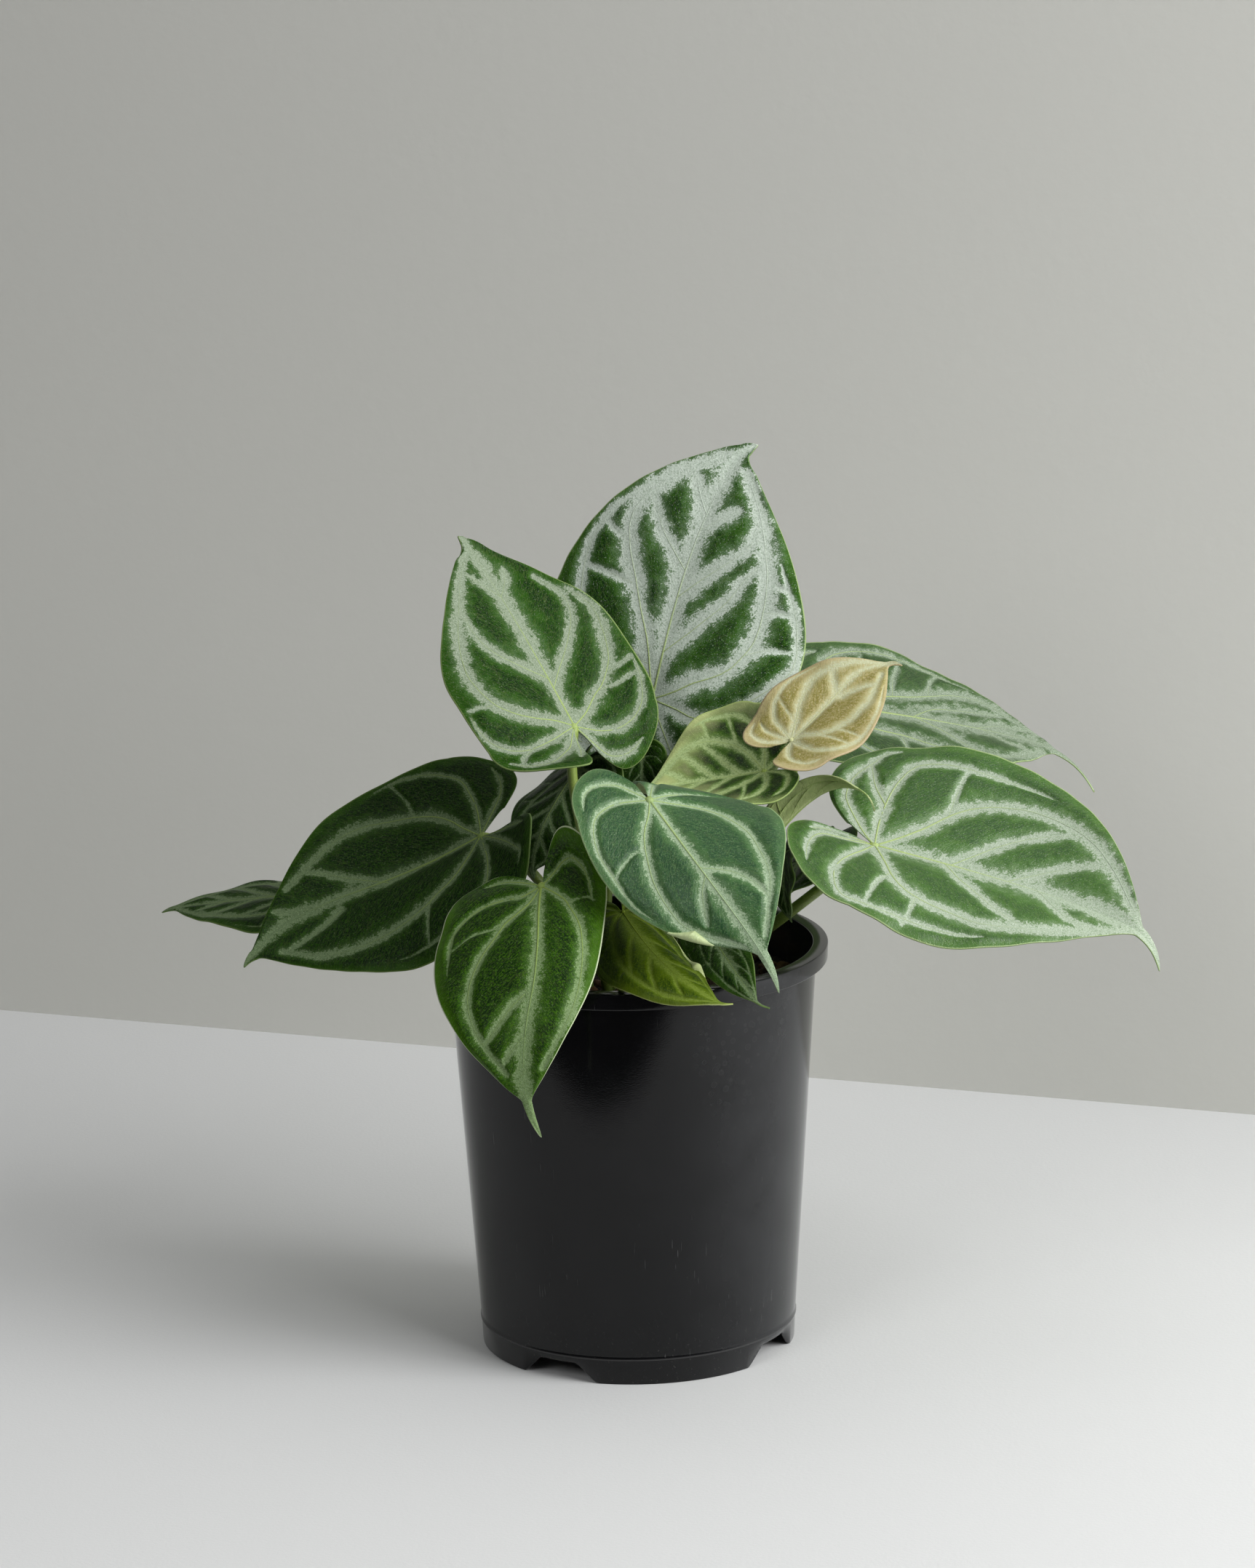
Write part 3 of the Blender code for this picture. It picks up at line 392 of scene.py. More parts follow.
# The leaves whose veins are seen, each as its left and its right half
VEINS = {
    "leaf_back_tall": (
        Veins(
            midrib=(3.6, 5.0, 4.6),
            arch=((0, 0), (0.10, 0.07), (0.20, 0.14), (0.31, 0.26), (0.40, 0.37), (0.50, 0.54),
                  (0.60, 0.70), (0.70, 0.74), (0.80, 0.68), (0.90, 0.50)),
            outer=((0, 0), (-0.08, 0.25), (0.0, 0.50), (0.10, 0.66), (0.20, 0.72), (0.31, 0.76),
                   (0.40, 0.83), (0.50, 0.89), (0.60, 0.89), (0.70, 0.84), (0.78, 0.72)),
            lobes=(LOBE_LOOP,),
            sides=(((0.47, 0), (0.53, 0.17), (0.58, 0.33), (0.63, 0.48), (0.68, 0.66)),
                   ((0.68, 0), (0.75, 0.25), (0.80, 0.50))),
            links=(((0.38, 0.38), (0.39, 0.55), (0.40, 0.80)),
                   ((0.52, 0.56), (0.53, 0.72), (0.56, 0.88)),
                   ((0.12, 0.09), (0.14, 0.35), (0.16, 0.66)))),
        Veins(
            midrib=(3.4, 4.4, 4.0),
            arch=((0, 0), (0.04, 0.16), (0.085, 0.29), (0.12, 0.42), (0.16, 0.52), (0.22, 0.59),
                  (0.28, 0.64), (0.37, 0.67), (0.51, 0.71), (0.65, 0.72), (0.77, 0.73), (0.88, 0.60)),
            outer=((0, 0), (-0.12, 0.22), (-0.14, 0.40), (-0.04, 0.58), (0.05, 0.72), (0.16, 0.90),
                   (0.25, 0.95), (0.42, 0.93), (0.50, 0.90), (0.60, 0.87)),
            lobes=(LOBE_LOOP,),
            sides=(((0.17, 0), (0.25, 0.15), (0.31, 0.25), (0.37, 0.35), (0.42, 0.42), (0.50, 0.52),
                    (0.56, 0.64)),
                   ((0.37, 0), (0.45, 0.15), (0.51, 0.28), (0.57, 0.42), (0.63, 0.56), (0.70, 0.64)),
                   ((0.62, 0), (0.69, 0.20), (0.74, 0.40))),
            links=(((0.225, 0.60), (0.26, 0.73), (0.275, 0.90)),
                   ((0.40, 0.69), (0.41, 0.80), (0.42, 0.91)),
                   ((0.51, 0.72), (0.51, 0.80), (0.51, 0.88))))),
    "leaf_upper_left": (
        Veins(
            midrib=(3.6, 4.6, 3.6),
            arch=((0, 0), (0.04, 0.17), (0.075, 0.37), (0.11, 0.51), (0.15, 0.61), (0.19, 0.68),
                  (0.27, 0.74), (0.38, 0.78), (0.54, 0.79), (0.66, 0.76), (0.78, 0.72), (0.90, 0.50)),
            outer=((0, 0), (-0.24, 0.18), (-0.24, 0.37), (-0.19, 0.62), (-0.11, 0.75), (-0.02, 0.84),
                   (0.04, 0.92), (0.11, 0.955), (0.19, 0.95)),
            lobes=(((0, 0), (-0.70, 0.38), (-0.61, 0.55), (-0.53, 0.74), (-0.46, 0.84), (-0.34, 0.90),
                    (-0.19, 0.93)),
                   ((0, 0), (-0.95, 0.30), (-0.90, 0.60), (-0.80, 0.80))),
            sides=(((0.24, 0), (0.30, 0.17), (0.35, 0.29), (0.40, 0.40), (0.46, 0.50), (0.54, 0.60),
                    (0.62, 0.68)),
                   ((0.66, 0), (0.74, 0.25), (0.80, 0.50))),
            links=(((0.19, 0.70), (0.20, 0.82), (0.205, 0.93)),
                   ((-0.19, 0.62), (-0.24, 0.80), (-0.30, 0.90)))),
        Veins(
            midrib=(3.2, 4.2, 3.6),
            arch=((0, 0), (0.05, 0.23), (0.11, 0.40), (0.15, 0.54), (0.20, 0.65), (0.25, 0.74),
                  (0.32, 0.81), (0.39, 0.86), (0.48, 0.92), (0.60, 0.93)),
            outer=((0, 0), (-0.34, 0.19), (-0.34, 0.33), (-0.27, 0.52), (-0.155, 0.69), (-0.04, 0.80),
                   (0.03, 0.87), (0.09, 0.91), (0.15, 0.94), (0.23, 0.96)),
            lobes=(((0, 0), (-0.92, 0.50), (-0.85, 0.70), (-0.69, 0.76), (-0.53, 0.82), (-0.37, 0.87)),),
            sides=(((0.19, 0), (0.27, 0.18), (0.33, 0.33), (0.40, 0.49), (0.48, 0.66), (0.58, 0.80),
                    (0.70, 0.80)),
                   ((0.66, 0), (0.72, 0.25), (0.78, 0.50))),
            links=(((0.13, 0.48), (0.13, 0.70), (0.15, 0.93)),
                   ((0.20, 0.66), (0.205, 0.80), (0.22, 0.95))))),
    "leaf_left": (
        Veins(
            midrib=(2.2, 2.3, 2.4),
            arch=((0, 0), (0.05, 0.18), (0.105, 0.31), (0.16, 0.39), (0.23, 0.44), (0.29, 0.49),
                  (0.42, 0.56), (0.57, 0.64), (0.70, 0.71), (0.76, 0.66), (0.84, 0.50)),
            outer=((0, 0), (-0.01, 0.20), (0.0, 0.38), (0.015, 0.55), (0.04, 0.67), (0.10, 0.78),
                   (0.20, 0.83), (0.33, 0.86), (0.48, 0.90)),
            lobes=(((0, 0), (-0.57, 0.28), (-0.53, 0.49), (-0.49, 0.68), (-0.46, 0.81), (-0.33, 0.85)),
                   ((0, 0), (-0.92, 0.40), (-0.88, 0.66), (-0.80, 0.85))),
            sides=(((0.58, 0), (0.64, 0.10), (0.71, 0.21), (0.77, 0.33), (0.82, 0.48)),),
            links=(((0.26, 0.47), (0.30, 0.66), (0.33, 0.86)),)),
        Veins(
            midrib=(2.2, 2.3, 2.4),
            arch=((0, 0), (0.05, 0.19), (0.083, 0.33), (0.128, 0.44), (0.196, 0.53), (0.275, 0.60),
                  (0.355, 0.675), (0.42, 0.716), (0.50, 0.74), (0.64, 0.76), (0.72, 0.82)),
            outer=((0, 0), (-0.22, 0.17), (-0.18, 0.38), (-0.10, 0.56), (-0.05, 0.70), (0.026, 0.80),
                   (0.083, 0.876), (0.16, 0.93), (0.23, 0.955), (0.32, 0.95)),
            lobes=(((0, 0), (-0.75, 0.43), (-0.70, 0.66), (-0.58, 0.79), (-0.44, 0.90)),),
            sides=(((0.38, 0.03), (0.47, 0.22), (0.525, 0.36), (0.58, 0.54), (0.64, 0.74)),
                   ((0.68, 0.25), (0.76, 0.50), (0.80, 0.80))),
            links=(((0.196, 0.54), (0.20, 0.71), (0.23, 0.94)),))),
    "leaf_front_hanging": (
        Veins(
            midrib=(2.0, 2.8, 2.6),
            arch=((0, 0), (0.04, 0.24), (0.073, 0.40), (0.106, 0.48), (0.149, 0.59), (0.20, 0.68),
                  (0.28, 0.75), (0.365, 0.80), (0.45, 0.84), (0.53, 0.87), (0.60, 0.84), (0.70, 0.78)),
            outer=((0, 0), (-0.61, 0.29), (-0.60, 0.52), (-0.51, 0.66), (-0.325, 0.70), (-0.10, 0.72),
                   (0.03, 0.76), (0.08, 0.80)),
            links=(((0.085, 0.45), (0.06, 0.70), (0.07, 0.82)),)),
        Veins(
            midrib=(2.2, 2.4, 3.0),
            arch=((0, 0), (0.0625, 0.07), (0.106, 0.17), (0.149, 0.29), (0.20, 0.36), (0.257, 0.45),
                  (0.31, 0.52), (0.375, 0.59), (0.44, 0.65), (0.494, 0.685), (0.56, 0.70), (0.62, 0.68),
                  (0.72, 0.52)),
            outer=((0, 0), (0.036, 0.18), (0.036, 0.37), (0.046, 0.55), (0.073, 0.69), (0.106, 0.77),
                   (0.149, 0.835), (0.21, 0.84), (0.28, 0.84), (0.36, 0.86)),
            lobes=(((0, 0), (-0.70, 0.35), (-0.60, 0.65), (-0.35, 0.80)),),
            sides=(((0.45, 0), (0.49, 0.14), (0.55, 0.33), (0.59, 0.49), (0.62, 0.66)),
                   ((0.60, 0), (0.645, 0.22), (0.68, 0.42))),
            links=(((0.149, 0.31), (0.17, 0.43), (0.175, 0.58), (0.19, 0.68), (0.225, 0.80)),))),
    "leaf_front_middle": (
        Veins(
            midrib=(2.0, 1.8, 2.8),
            arch=((0, 0), (0.035, 0.18), (0.07, 0.33), (0.109, 0.43), (0.158, 0.50), (0.22, 0.55),
                  (0.306, 0.60), (0.38, 0.63), (0.467, 0.66), (0.553, 0.73), (0.615, 0.77),
                  (0.66, 0.74), (0.76, 0.60)),
            outer=((0, 0), (-0.155, 0.255), (-0.10, 0.47), (-0.02, 0.66), (0.022, 0.83), (0.06, 0.92),
                   (0.14, 0.95)),
            lobes=(LOBE_LOOP,),
            sides=(((0.40, 0), (0.465, 0.21), (0.516, 0.34), (0.59, 0.53), (0.66, 0.75)),)),
        Veins(
            midrib=(2.0, 1.8, 2.8),
            arch=((0, 0), (0.07, 0.12), (0.133, 0.27), (0.195, 0.37), (0.27, 0.46), (0.34, 0.55),
                  (0.417, 0.63), (0.49, 0.71), (0.55, 0.78), (0.64, 0.78), (0.76, 0.66)),
            outer=((0, 0), (-0.20, 0.25), (-0.156, 0.45), (-0.05, 0.64), (0.016, 0.775), (0.07, 0.85),
                   (0.146, 0.89), (0.244, 0.88), (0.37, 0.935), (0.46, 0.93)),
            lobes=(((0, 0), (-0.76, 0.28), (-0.72, 0.51), (-0.60, 0.67), (-0.46, 0.79), (-0.30, 0.85),
                    (-0.08, 0.88)),),
            sides=(((0.44, 0), (0.49, 0.19), (0.54, 0.33), (0.60, 0.54)),),
            links=(((0.20, 0.38), (0.207, 0.56), (0.23, 0.75), (0.25, 0.88)),))),
    "leaf_young_tan": (
        Veins(
            midrib=(1.0, 1.0, 0.9),
            arch=((0, 0), (0.08, 0.15), (0.14, 0.245), (0.24, 0.42), (0.335, 0.555), (0.43, 0.68),
                  (0.53, 0.74), (0.62, 0.74), (0.72, 0.78), (0.86, 0.60)),
            outer=((0, 0), (0.023, 0.29), (0.04, 0.545), (0.10, 0.72), (0.19, 0.835), (0.35, 0.93),
                   (0.53, 0.92)),
            lobes=(((0, 0), (-0.33, 0.34), (-0.26, 0.58), (-0.11, 0.78)),
                   ((0, 0), (-0.80, 0.40), (-0.70, 0.70), (-0.45, 0.86), (-0.15, 0.90))),
            sides=(((0.47, 0.13), (0.53, 0.45), (0.58, 0.70)),),
            links=(((0.12, 0.21), (0.15, 0.55), (0.18, 0.83)),)),
        Veins(
            midrib=(1.0, 1.0, 0.9),
            arch=((0, 0), (0.09, 0.15), (0.14, 0.32), (0.21, 0.42), (0.31, 0.49), (0.43, 0.545),
                  (0.57, 0.57), (0.65, 0.52), (0.80, 0.40)),
            outer=((0, 0), (0.005, 0.34), (0.023, 0.58), (0.08, 0.77), (0.165, 0.86), (0.29, 0.90),
                   (0.43, 0.91), (0.59, 0.88), (0.75, 0.80)),
            lobes=(((0, 0), (-0.68, 0.36), (-0.59, 0.60), (-0.43, 0.73), (-0.22, 0.82), (0, 0.875)),),
            sides=(((0.48, 0), (0.60, 0.12), (0.68, 0.30), (0.73, 0.45)),),
            links=(((0.26, 0.46), (0.30, 0.70), (0.33, 0.89)),
                   ((0.14, 0.34), (0.19, 0.66), (0.22, 0.86))))),
    "leaf_right": (
        Veins(
            midrib=(3.4, 3.8, 4.4),
            arch=((0, 0), (0.06, 0.11), (0.133, 0.26), (0.18, 0.38), (0.23, 0.48), (0.30, 0.57),
                  (0.40, 0.66), (0.50, 0.71), (0.60, 0.75), (0.70, 0.73), (0.80, 0.68), (0.88, 0.50)),
            outer=((0, 0), (-0.12, 0.20), (-0.06, 0.40), (0, 0.60), (0.027, 0.76), (0.066, 0.82),
                   (0.133, 0.83), (0.21, 0.82), (0.30, 0.82), (0.38, 0.84), (0.47, 0.87)),
            lobes=(((0, 0), (-0.85, 0.25), (-0.73, 0.58), (-0.65, 0.70), (-0.47, 0.79), (-0.28, 0.85),
                    (-0.16, 0.93), (-0.03, 0.95)),
                   ((-0.06, 0.40), (-0.245, 0.61), (-0.28, 0.85))),
            sides=(((0.24, 0), (0.30, 0.13), (0.36, 0.27), (0.43, 0.42), (0.50, 0.56), (0.57, 0.73)),
                   ((0.42, 0), (0.49, 0.13), (0.55, 0.27), (0.62, 0.48), (0.68, 0.70))),
            links=(((0.185, 0.40), (0.187, 0.62), (0.20, 0.85)),)),
        Veins(
            midrib=(5.0, 5.6, 4.8),
            arch=((0, 0), (0.027, 0.16), (0.066, 0.35), (0.095, 0.47), (0.143, 0.57), (0.21, 0.62),
                  (0.29, 0.65), (0.42, 0.72), (0.54, 0.735), (0.65, 0.77), (0.75, 0.80), (0.84, 0.66)),
            outer=((0, 0), (-0.14, 0.20), (-0.17, 0.385), (-0.17, 0.57), (-0.14, 0.72), (-0.09, 0.85),
                   (-0.04, 0.92), (0.017, 0.92), (0.095, 0.89), (0.25, 0.86), (0.385, 0.87),
                   (0.45, 0.89)),
            lobes=(((0, 0), (-0.61, 0.51), (-0.556, 0.65), (-0.446, 0.73), (-0.36, 0.80), (-0.27, 0.885)),
                   ((0, 0), (-0.80, 0.55), (-0.72, 0.74), (-0.60, 0.80))),
            sides=(((0.22, 0), (0.28, 0.19), (0.33, 0.29), (0.40, 0.43), (0.47, 0.56), (0.56, 0.74)),
                   ((0.52, 0), (0.60, 0.25), (0.68, 0.50), (0.76, 0.72))),
            links=(((0.083, 0.43), (0.06, 0.60), (0.05, 0.74), (0.044, 0.93)),
                   ((0.186, 0.62), (0.184, 0.78), (0.177, 0.92))))),
    "leaf_back_right": (
        Veins(
            midrib=(4.0, 5.0, 4.0),
            arch=((0, 0), (0.08, 0.15), (0.20, 0.29), (0.28, 0.35), (0.365, 0.465), (0.446, 0.62),
                  (0.52, 0.74), (0.60, 0.80), (0.74, 0.76)),
            outer=((0, 0), (-0.15, 0.30), (-0.08, 0.60), (0.02, 0.80), (0.12, 0.88), (0.25, 0.90),
                   (0.40, 0.91), (0.55, 0.93)),
            lobes=(LOBE_LOOP,),
            sides=(((0.27, 0), (0.36, 0.22), (0.45, 0.32), (0.55, 0.46), (0.62, 0.62)),
                   ((0.50, 0), (0.60, 0.25), (0.70, 0.50))),
            links=(((0.10, 0.18), (0.11, 0.50), (0.13, 0.86)),
                   ((0.22, 0.32), (0.24, 0.60), (0.28, 0.88)),
                   ((0.36, 0.47), (0.38, 0.70), (0.42, 0.92)))),
        Veins(
            midrib=(4.0, 4.6, 4.0),
            arch=((0, 0), (0.05, 0.18), (0.11, 0.33), (0.21, 0.38), (0.30, 0.48), (0.40, 0.62),
                  (0.51, 0.71), (0.60, 0.82), (0.74, 0.76)),
            outer=((0, 0), (-0.06, 0.35), (0.05, 0.66), (0.16, 0.84), (0.35, 0.90), (0.50, 0.92)),
            lobes=(LOBE_LOOP,),
            sides=(((0.28, 0), (0.365, 0.20), (0.415, 0.40), (0.47, 0.62), (0.53, 0.80)),
                   ((0.52, 0), (0.60, 0.30), (0.66, 0.55))),
            links=(((0.20, 0.40), (0.21, 0.62), (0.23, 0.86)),))),
}

# Kinds of veins: three band half widths over the blade's, and two rib radii over its length
VEIN_KINDS = {
    "arch": ((0.048, 0.050, 0.030), (0.0042, 0.0016)),
    "outer": ((0.040, 0.024, 0.004), (0.0038, 0.0010)),
    "lobes": ((0.042, 0.026, 0.006), (0.0034, 0.0010)),
    "sides": ((0.050, 0.036, 0.020), (0.0026, 0.0012)),
    "links": ((0.020, 0.016, 0.014), (0.0012, 0.0008)),
}

# Midribs that run a little aside, as (k, share) places with shares to the right below 0
STRAIGHT_SPINE = ((0, 0), (0.5, 0), (1, 0))
SPINES = {
    "leaf_left": ((0, 0), (0.20, -0.01), (0.40, -0.07), (0.60, -0.18), (0.80, -0.35), (0.92, -0.30),
                  (1, 0)),
    "leaf_front_hanging": ((0, 0), (0.10, 0.03), (0.25, 0.10), (0.40, 0.13), (0.55, 0.07), (0.70, 0),
                           (1, 0)),
    "leaf_young_tan": ((0, 0), (0.16, 0.01), (0.40, 0.08), (0.53, 0.16), (0.65, 0.28), (0.77, 0.38),
                       (0.90, 0.2), (1, 0)),
}

# Margins that are rolled over the upper face, from start to end along k
ROLLS = {
    "leaf_front_olive": dict(half=0, start=0.12, end=0.70, radius=0.0020, widest=0.82),
    "leaf_front_middle": dict(half=1, start=0.53, end=0.68, radius=0.0020, widest=0.38),
}


# Mesh helpers

def new_object(name, points, triangles, material, attributes=None):
    """A smooth-shaded object from arrays of points and triangles, with float attributes on points."""
    mesh = bpy.data.meshes.new(name)
    points = np.asarray(points, dtype=np.float32)
    triangles = np.asarray(triangles, dtype=np.int32)
    mesh.vertices.add(len(points))
    mesh.vertices.foreach_set("co", points.ravel())
    mesh.loops.add(triangles.size)
    mesh.loops.foreach_set("vertex_index", triangles.ravel())
    mesh.polygons.add(len(triangles))
    mesh.polygons.foreach_set("loop_start", np.arange(0, triangles.size, 3, dtype=np.int32))
    mesh.polygons.foreach_set("use_smooth", np.ones(len(triangles), dtype=bool))
    mesh.materials.append(material)
    for label, values in (attributes or {}).items():
        layer = mesh.attributes.new(label, "FLOAT", "POINT")
        layer.data.foreach_set("value", np.asarray(values, dtype=np.float32))
    mesh.update(calc_edges=True)
    mesh.validate()
    thing = bpy.data.objects.new(name, mesh)
    bpy.context.scene.collection.objects.link(thing)
    return thing


def unit(vectors):
    """Vectors over their lengths."""
    return vectors / np.maximum(np.linalg.norm(vectors, axis=-1, keepdims=True), 1e-12)


def direction(yaw, pitch):
    """Unit vectors turned by yaw from X towards Y and raised by pitch, both in radians."""
    return np.stack([np.cos(pitch) * np.cos(yaw), np.cos(pitch) * np.sin(yaw), np.sin(pitch)], -1)


def waves(x, y, sets):
    """Sum of sine waves over the plane, each height * sin(a * x + b * y + phase)."""
    return sum(height * np.sin(a * x + b * y + phase) for height, a, b, phase in sets)


def grid_triangles(rows, columns, wrap=False):
    """Triangles of a grid of points, row by row; wrap joins the last column to the first."""
    ids = np.arange(rows * columns).reshape(rows, columns)
    if wrap:
        ids = np.concatenate([ids, ids[:, :1]], axis=1)
    a, b = ids[:-1, :-1].ravel(), ids[:-1, 1:].ravel()
    c, d = ids[1:, 1:].ravel(), ids[1:, :-1].ravel()
    return np.concatenate([np.stack([a, b, c], 1), np.stack([a, c, d], 1)])


def closed_rings(rings, first, last):
    """A closed surface through rings of points, with one point at each end."""
    count, sides = rings.shape[:2]
    near = np.arange(sides)
    far = near + (count - 1) * sides
    low, high = count * sides, count * sides + 1
    caps = [np.stack([np.full(sides, low), np.roll(near, -1), near], 1),
            np.stack([np.full(sides, high), far, np.roll(far, -1)], 1)]
    points = np.concatenate([rings.reshape(-1, 3), [first, last]])
    return points, np.concatenate([grid_triangles(count, sides, wrap=True), *caps])


def tube(path, radii, sides, across=None, height=None):
    """A closed round tube: rings square to the path, each carried over from the one before.

    The two ends close to one point each, a little past the last ring. With across given, the
    rings keep that direction, and height is their radius square to it.
    """
    ahead = unit(np.gradient(path, axis=0))
    if across is None:
        across = np.empty_like(path)
        side = np.cross(ahead[0], [0.0, 0.0, 1.0])
        if np.linalg.norm(side) < 0.1:
            side = np.array([1.0, 0.0, 0.0])
        for step, forward in enumerate(ahead):
            side = unit(side - forward * side.dot(forward))
            across[step] = side
    else:
        across = unit(across - ahead * np.sum(across * ahead, 1)[:, None])
    other = np.cross(ahead, across) * (1 if height is None else (height / radii)[:, None])
    angle = np.arange(sides) * math.tau / sides
    cos, sin = np.cos(angle)[None, :, None], np.sin(angle)[None, :, None]
    rings = across[:, None] * cos + other[:, None] * sin
    rings = path[:, None] + rings * radii[:, None, None]
    return closed_rings(rings, path[0] - ahead[0] * radii[0] * TUBE_END,
                        path[-1] + ahead[-1] * radii[-1] * TUBE_END)


def smooth_path(points, count):
    """A smooth curve through points: a cubic between each two, sloped at each point by half the step
    from the point before it to the one after.
    """
    points = np.asarray(points, dtype=float)
    padded = np.concatenate([[2 * points[0] - points[1]], points, [2 * points[-1] - points[-2]]])
    way = np.linspace(0, len(points) - 1, count)
    at = np.minimum(way.astype(int), len(points) - 2)
    f = (way - at)[:, None]
    p0, p1, p2, p3 = (padded[at + k] for k in range(4))
    return 0.5 * (2 * p1 + (p2 - p0) * f + (2 * p0 - 5 * p1 + 4 * p2 - p3) * f ** 2
                  + (3 * p1 - p0 - 3 * p2 + p3) * f ** 3)


# Blade form

def smooth_step(share):
    """0 below 0, 1 above 1, and a soft step between."""
    share = np.clip(share, 0, 1)
    return share * share * (3 - 2 * share)


def half_width_share(u, tip):
    """Half width over the widest one, for u from 0 at the joint to 1 at the tip.

    A body that falls as 1 - v ** BODY_POWER, and a thin drip tip beyond it.
    """
    body_end = 1 - tip
    widest = WIDEST_AT * body_end
    fall = np.clip((u / body_end - WIDEST_AT) / (1 - WIDEST_AT), 0, 1)
    back = np.clip((widest - u) / widest, 0, 1)
    body = np.where(u < widest, 1 - (1 - WIDTH_AT_JOINT) * back ** 2, 1 - fall ** BODY_POWER)
    drip = DRIP_WIDTH * np.clip((1 - u) / tip, 0, 1) ** DRIP_POWER
    drip = drip * np.clip(u / body_end, 0, 1) ** DRIP_START
    return np.sqrt(np.clip(body, 0, 1) ** 2 + drip ** 2)


def lobe_share(turn, size):
    """Lobe radius over the half width, for turn 0 (square to the midrib) to 1 (at the sinus)."""
    swell = 1 + (size / WIDTH_AT_JOINT - 1) * turn ** LOBE_POWER
    return WIDTH_AT_JOINT * swell * (1 - LOBE_ROUND * turn ** LOBE_ROUND_POWER)


def flat_place(leaf, half, k, share):
    """Flat place (along, across) of a point of one half.

    k is -1 at the sinus, 0 square to the joint and 1 at the tip; share is 0 at the midrib or the
    joint and 1 at the margin.
    """
    k, share = np.broadcast_arrays(np.asarray(k, dtype=float), np.asarray(share, dtype=float))
    width = leaf.half_width[half]
    turn = np.clip(-k, 0, 1)
    angle = np.radians(90 + (90 - leaf.sinus[half]) * turn)
    radius = width * lobe_share(turn, leaf.lobe[half]) * share
    u = np.clip(k, 0, 1)
    front = k >= 0
    along = np.where(front, leaf.length * u, radius * np.cos(angle))
    across = np.where(front, width * half_width_share(u, leaf.tip) * share, radius * np.sin(angle))
    return along, across


def share_and_row(leaf, half, along, across):
    """Share towards the margin and row along it, from a flat place: the way back of flat_place."""
    width = leaf.half_width[half]
    u = np.clip(along / leaf.length, 0, 1)
    edge = np.maximum(width * half_width_share(u, leaf.tip), 1e-5)
    behind = np.degrees(np.arctan2(-along, np.maximum(across, 1e-9)))
    turn = np.clip(behind / (90 - leaf.sinus[half]), 0, 1)
    rim = width * lobe_share(turn, leaf.lobe[half])
    share = np.where(along >= 0, across / edge, np.hypot(along, across) / rim)
    row = np.where(along >= 0, LOBE_WAVES + (1 - LOBE_WAVES) * u, (1 - turn) * LOBE_WAVES)
    return np.clip(share, 0, 1), row


def blade_points(leaf, along, across, share, row, half):
    """Blade points in the leaf's own frame: X to the tip, Y to the left, Z off the upper face.

    The midrib bends by droop and sweep as the square of the way along, and by flick and turn near
    the tip. Square to it each half is an arc that starts at the fold angle and bends by curl.
    """
    side = 1 - 2 * half
    way = np.linspace(0, 1, MIDRIB_STEPS + 1)
    tip_start = 1 - max(leaf.tip * FLICK_REACH, FLICK_LEAST)
    near_tip = smooth_step((way - tip_start) / (1 - tip_start))
    pitch = np.radians(leaf.flick * near_tip - leaf.droop * way ** 2)
    yaw = np.radians(leaf.sweep * way ** 2 + leaf.turn * near_tip)
    step = direction(yaw, pitch)
    midrib = np.zeros((MIDRIB_STEPS + 1, 3))
    midrib[1:] = np.cumsum((step[1:] + step[:-1]) / 2 * leaf.length / MIDRIB_STEPS, axis=0)
    u = np.clip(along / leaf.length, 0, 1)
    centre = np.stack([np.interp(u, way, midrib[:, axis]) for axis in range(3)], -1)
    centre[..., 0] += np.minimum(along, 0)
    yaw_here = np.interp(u, way, yaw)
    left = np.stack([-np.sin(yaw_here), np.cos(yaw_here), 0 * yaw_here], -1)
    up = np.cross(direction(yaw_here, np.interp(u, way, pitch)), left)
    twist = np.radians(leaf.twist) * along / leaf.length
    cos_t = np.cos(twist)[..., None]
    sin_t = np.sin(twist)[..., None]
    left, up = cos_t * left + sin_t * up, cos_t * up - sin_t * left
    width = leaf.half_width[half]
    fold = math.radians(leaf.fold[half])
    curl = math.radians(leaf.curl[half]) or 1e-4
    angle = fold + curl * across / width
    out = width / curl * (np.sin(angle) - math.sin(fold))
    raised = width / curl * (math.cos(fold) - np.cos(angle))
    behind = np.where(along < 0, (along / (LOBE_BEND * width)) ** 2, 0)
    raised = raised + leaf.lift[half] / 100 * width * behind
    envelope = np.sqrt(np.sin(math.pi * np.clip(row, 0, 1)))
    phase = math.tau * (MARGIN_WAVES * row + 0.25 * half)
    raised = raised + leaf.wave * share ** 2 * envelope * np.sin(phase)
    return centre + left * (side * out)[..., None] + up * raised[..., None]


def leaf_axes(leaf):
    """Columns X, Y, Z of the leaf's own frame in the plant's."""
    heading, climb, bank = (math.radians(angle) for angle in (leaf.heading, leaf.climb, leaf.bank))
    ahead = direction(heading, climb)
    level = np.array([-math.sin(heading), math.cos(heading), 0.0])
    above = np.cross(ahead, level)
    return np.stack([ahead, math.cos(bank) * level + math.sin(bank) * above,
                     math.cos(bank) * above - math.sin(bank) * level], 1)


def to_plant(leaf, points):
    """Points of the leaf's own frame, in the scene."""
    return AXIS + np.array(leaf.joint) + points @ leaf_axes(leaf).T


# Veins

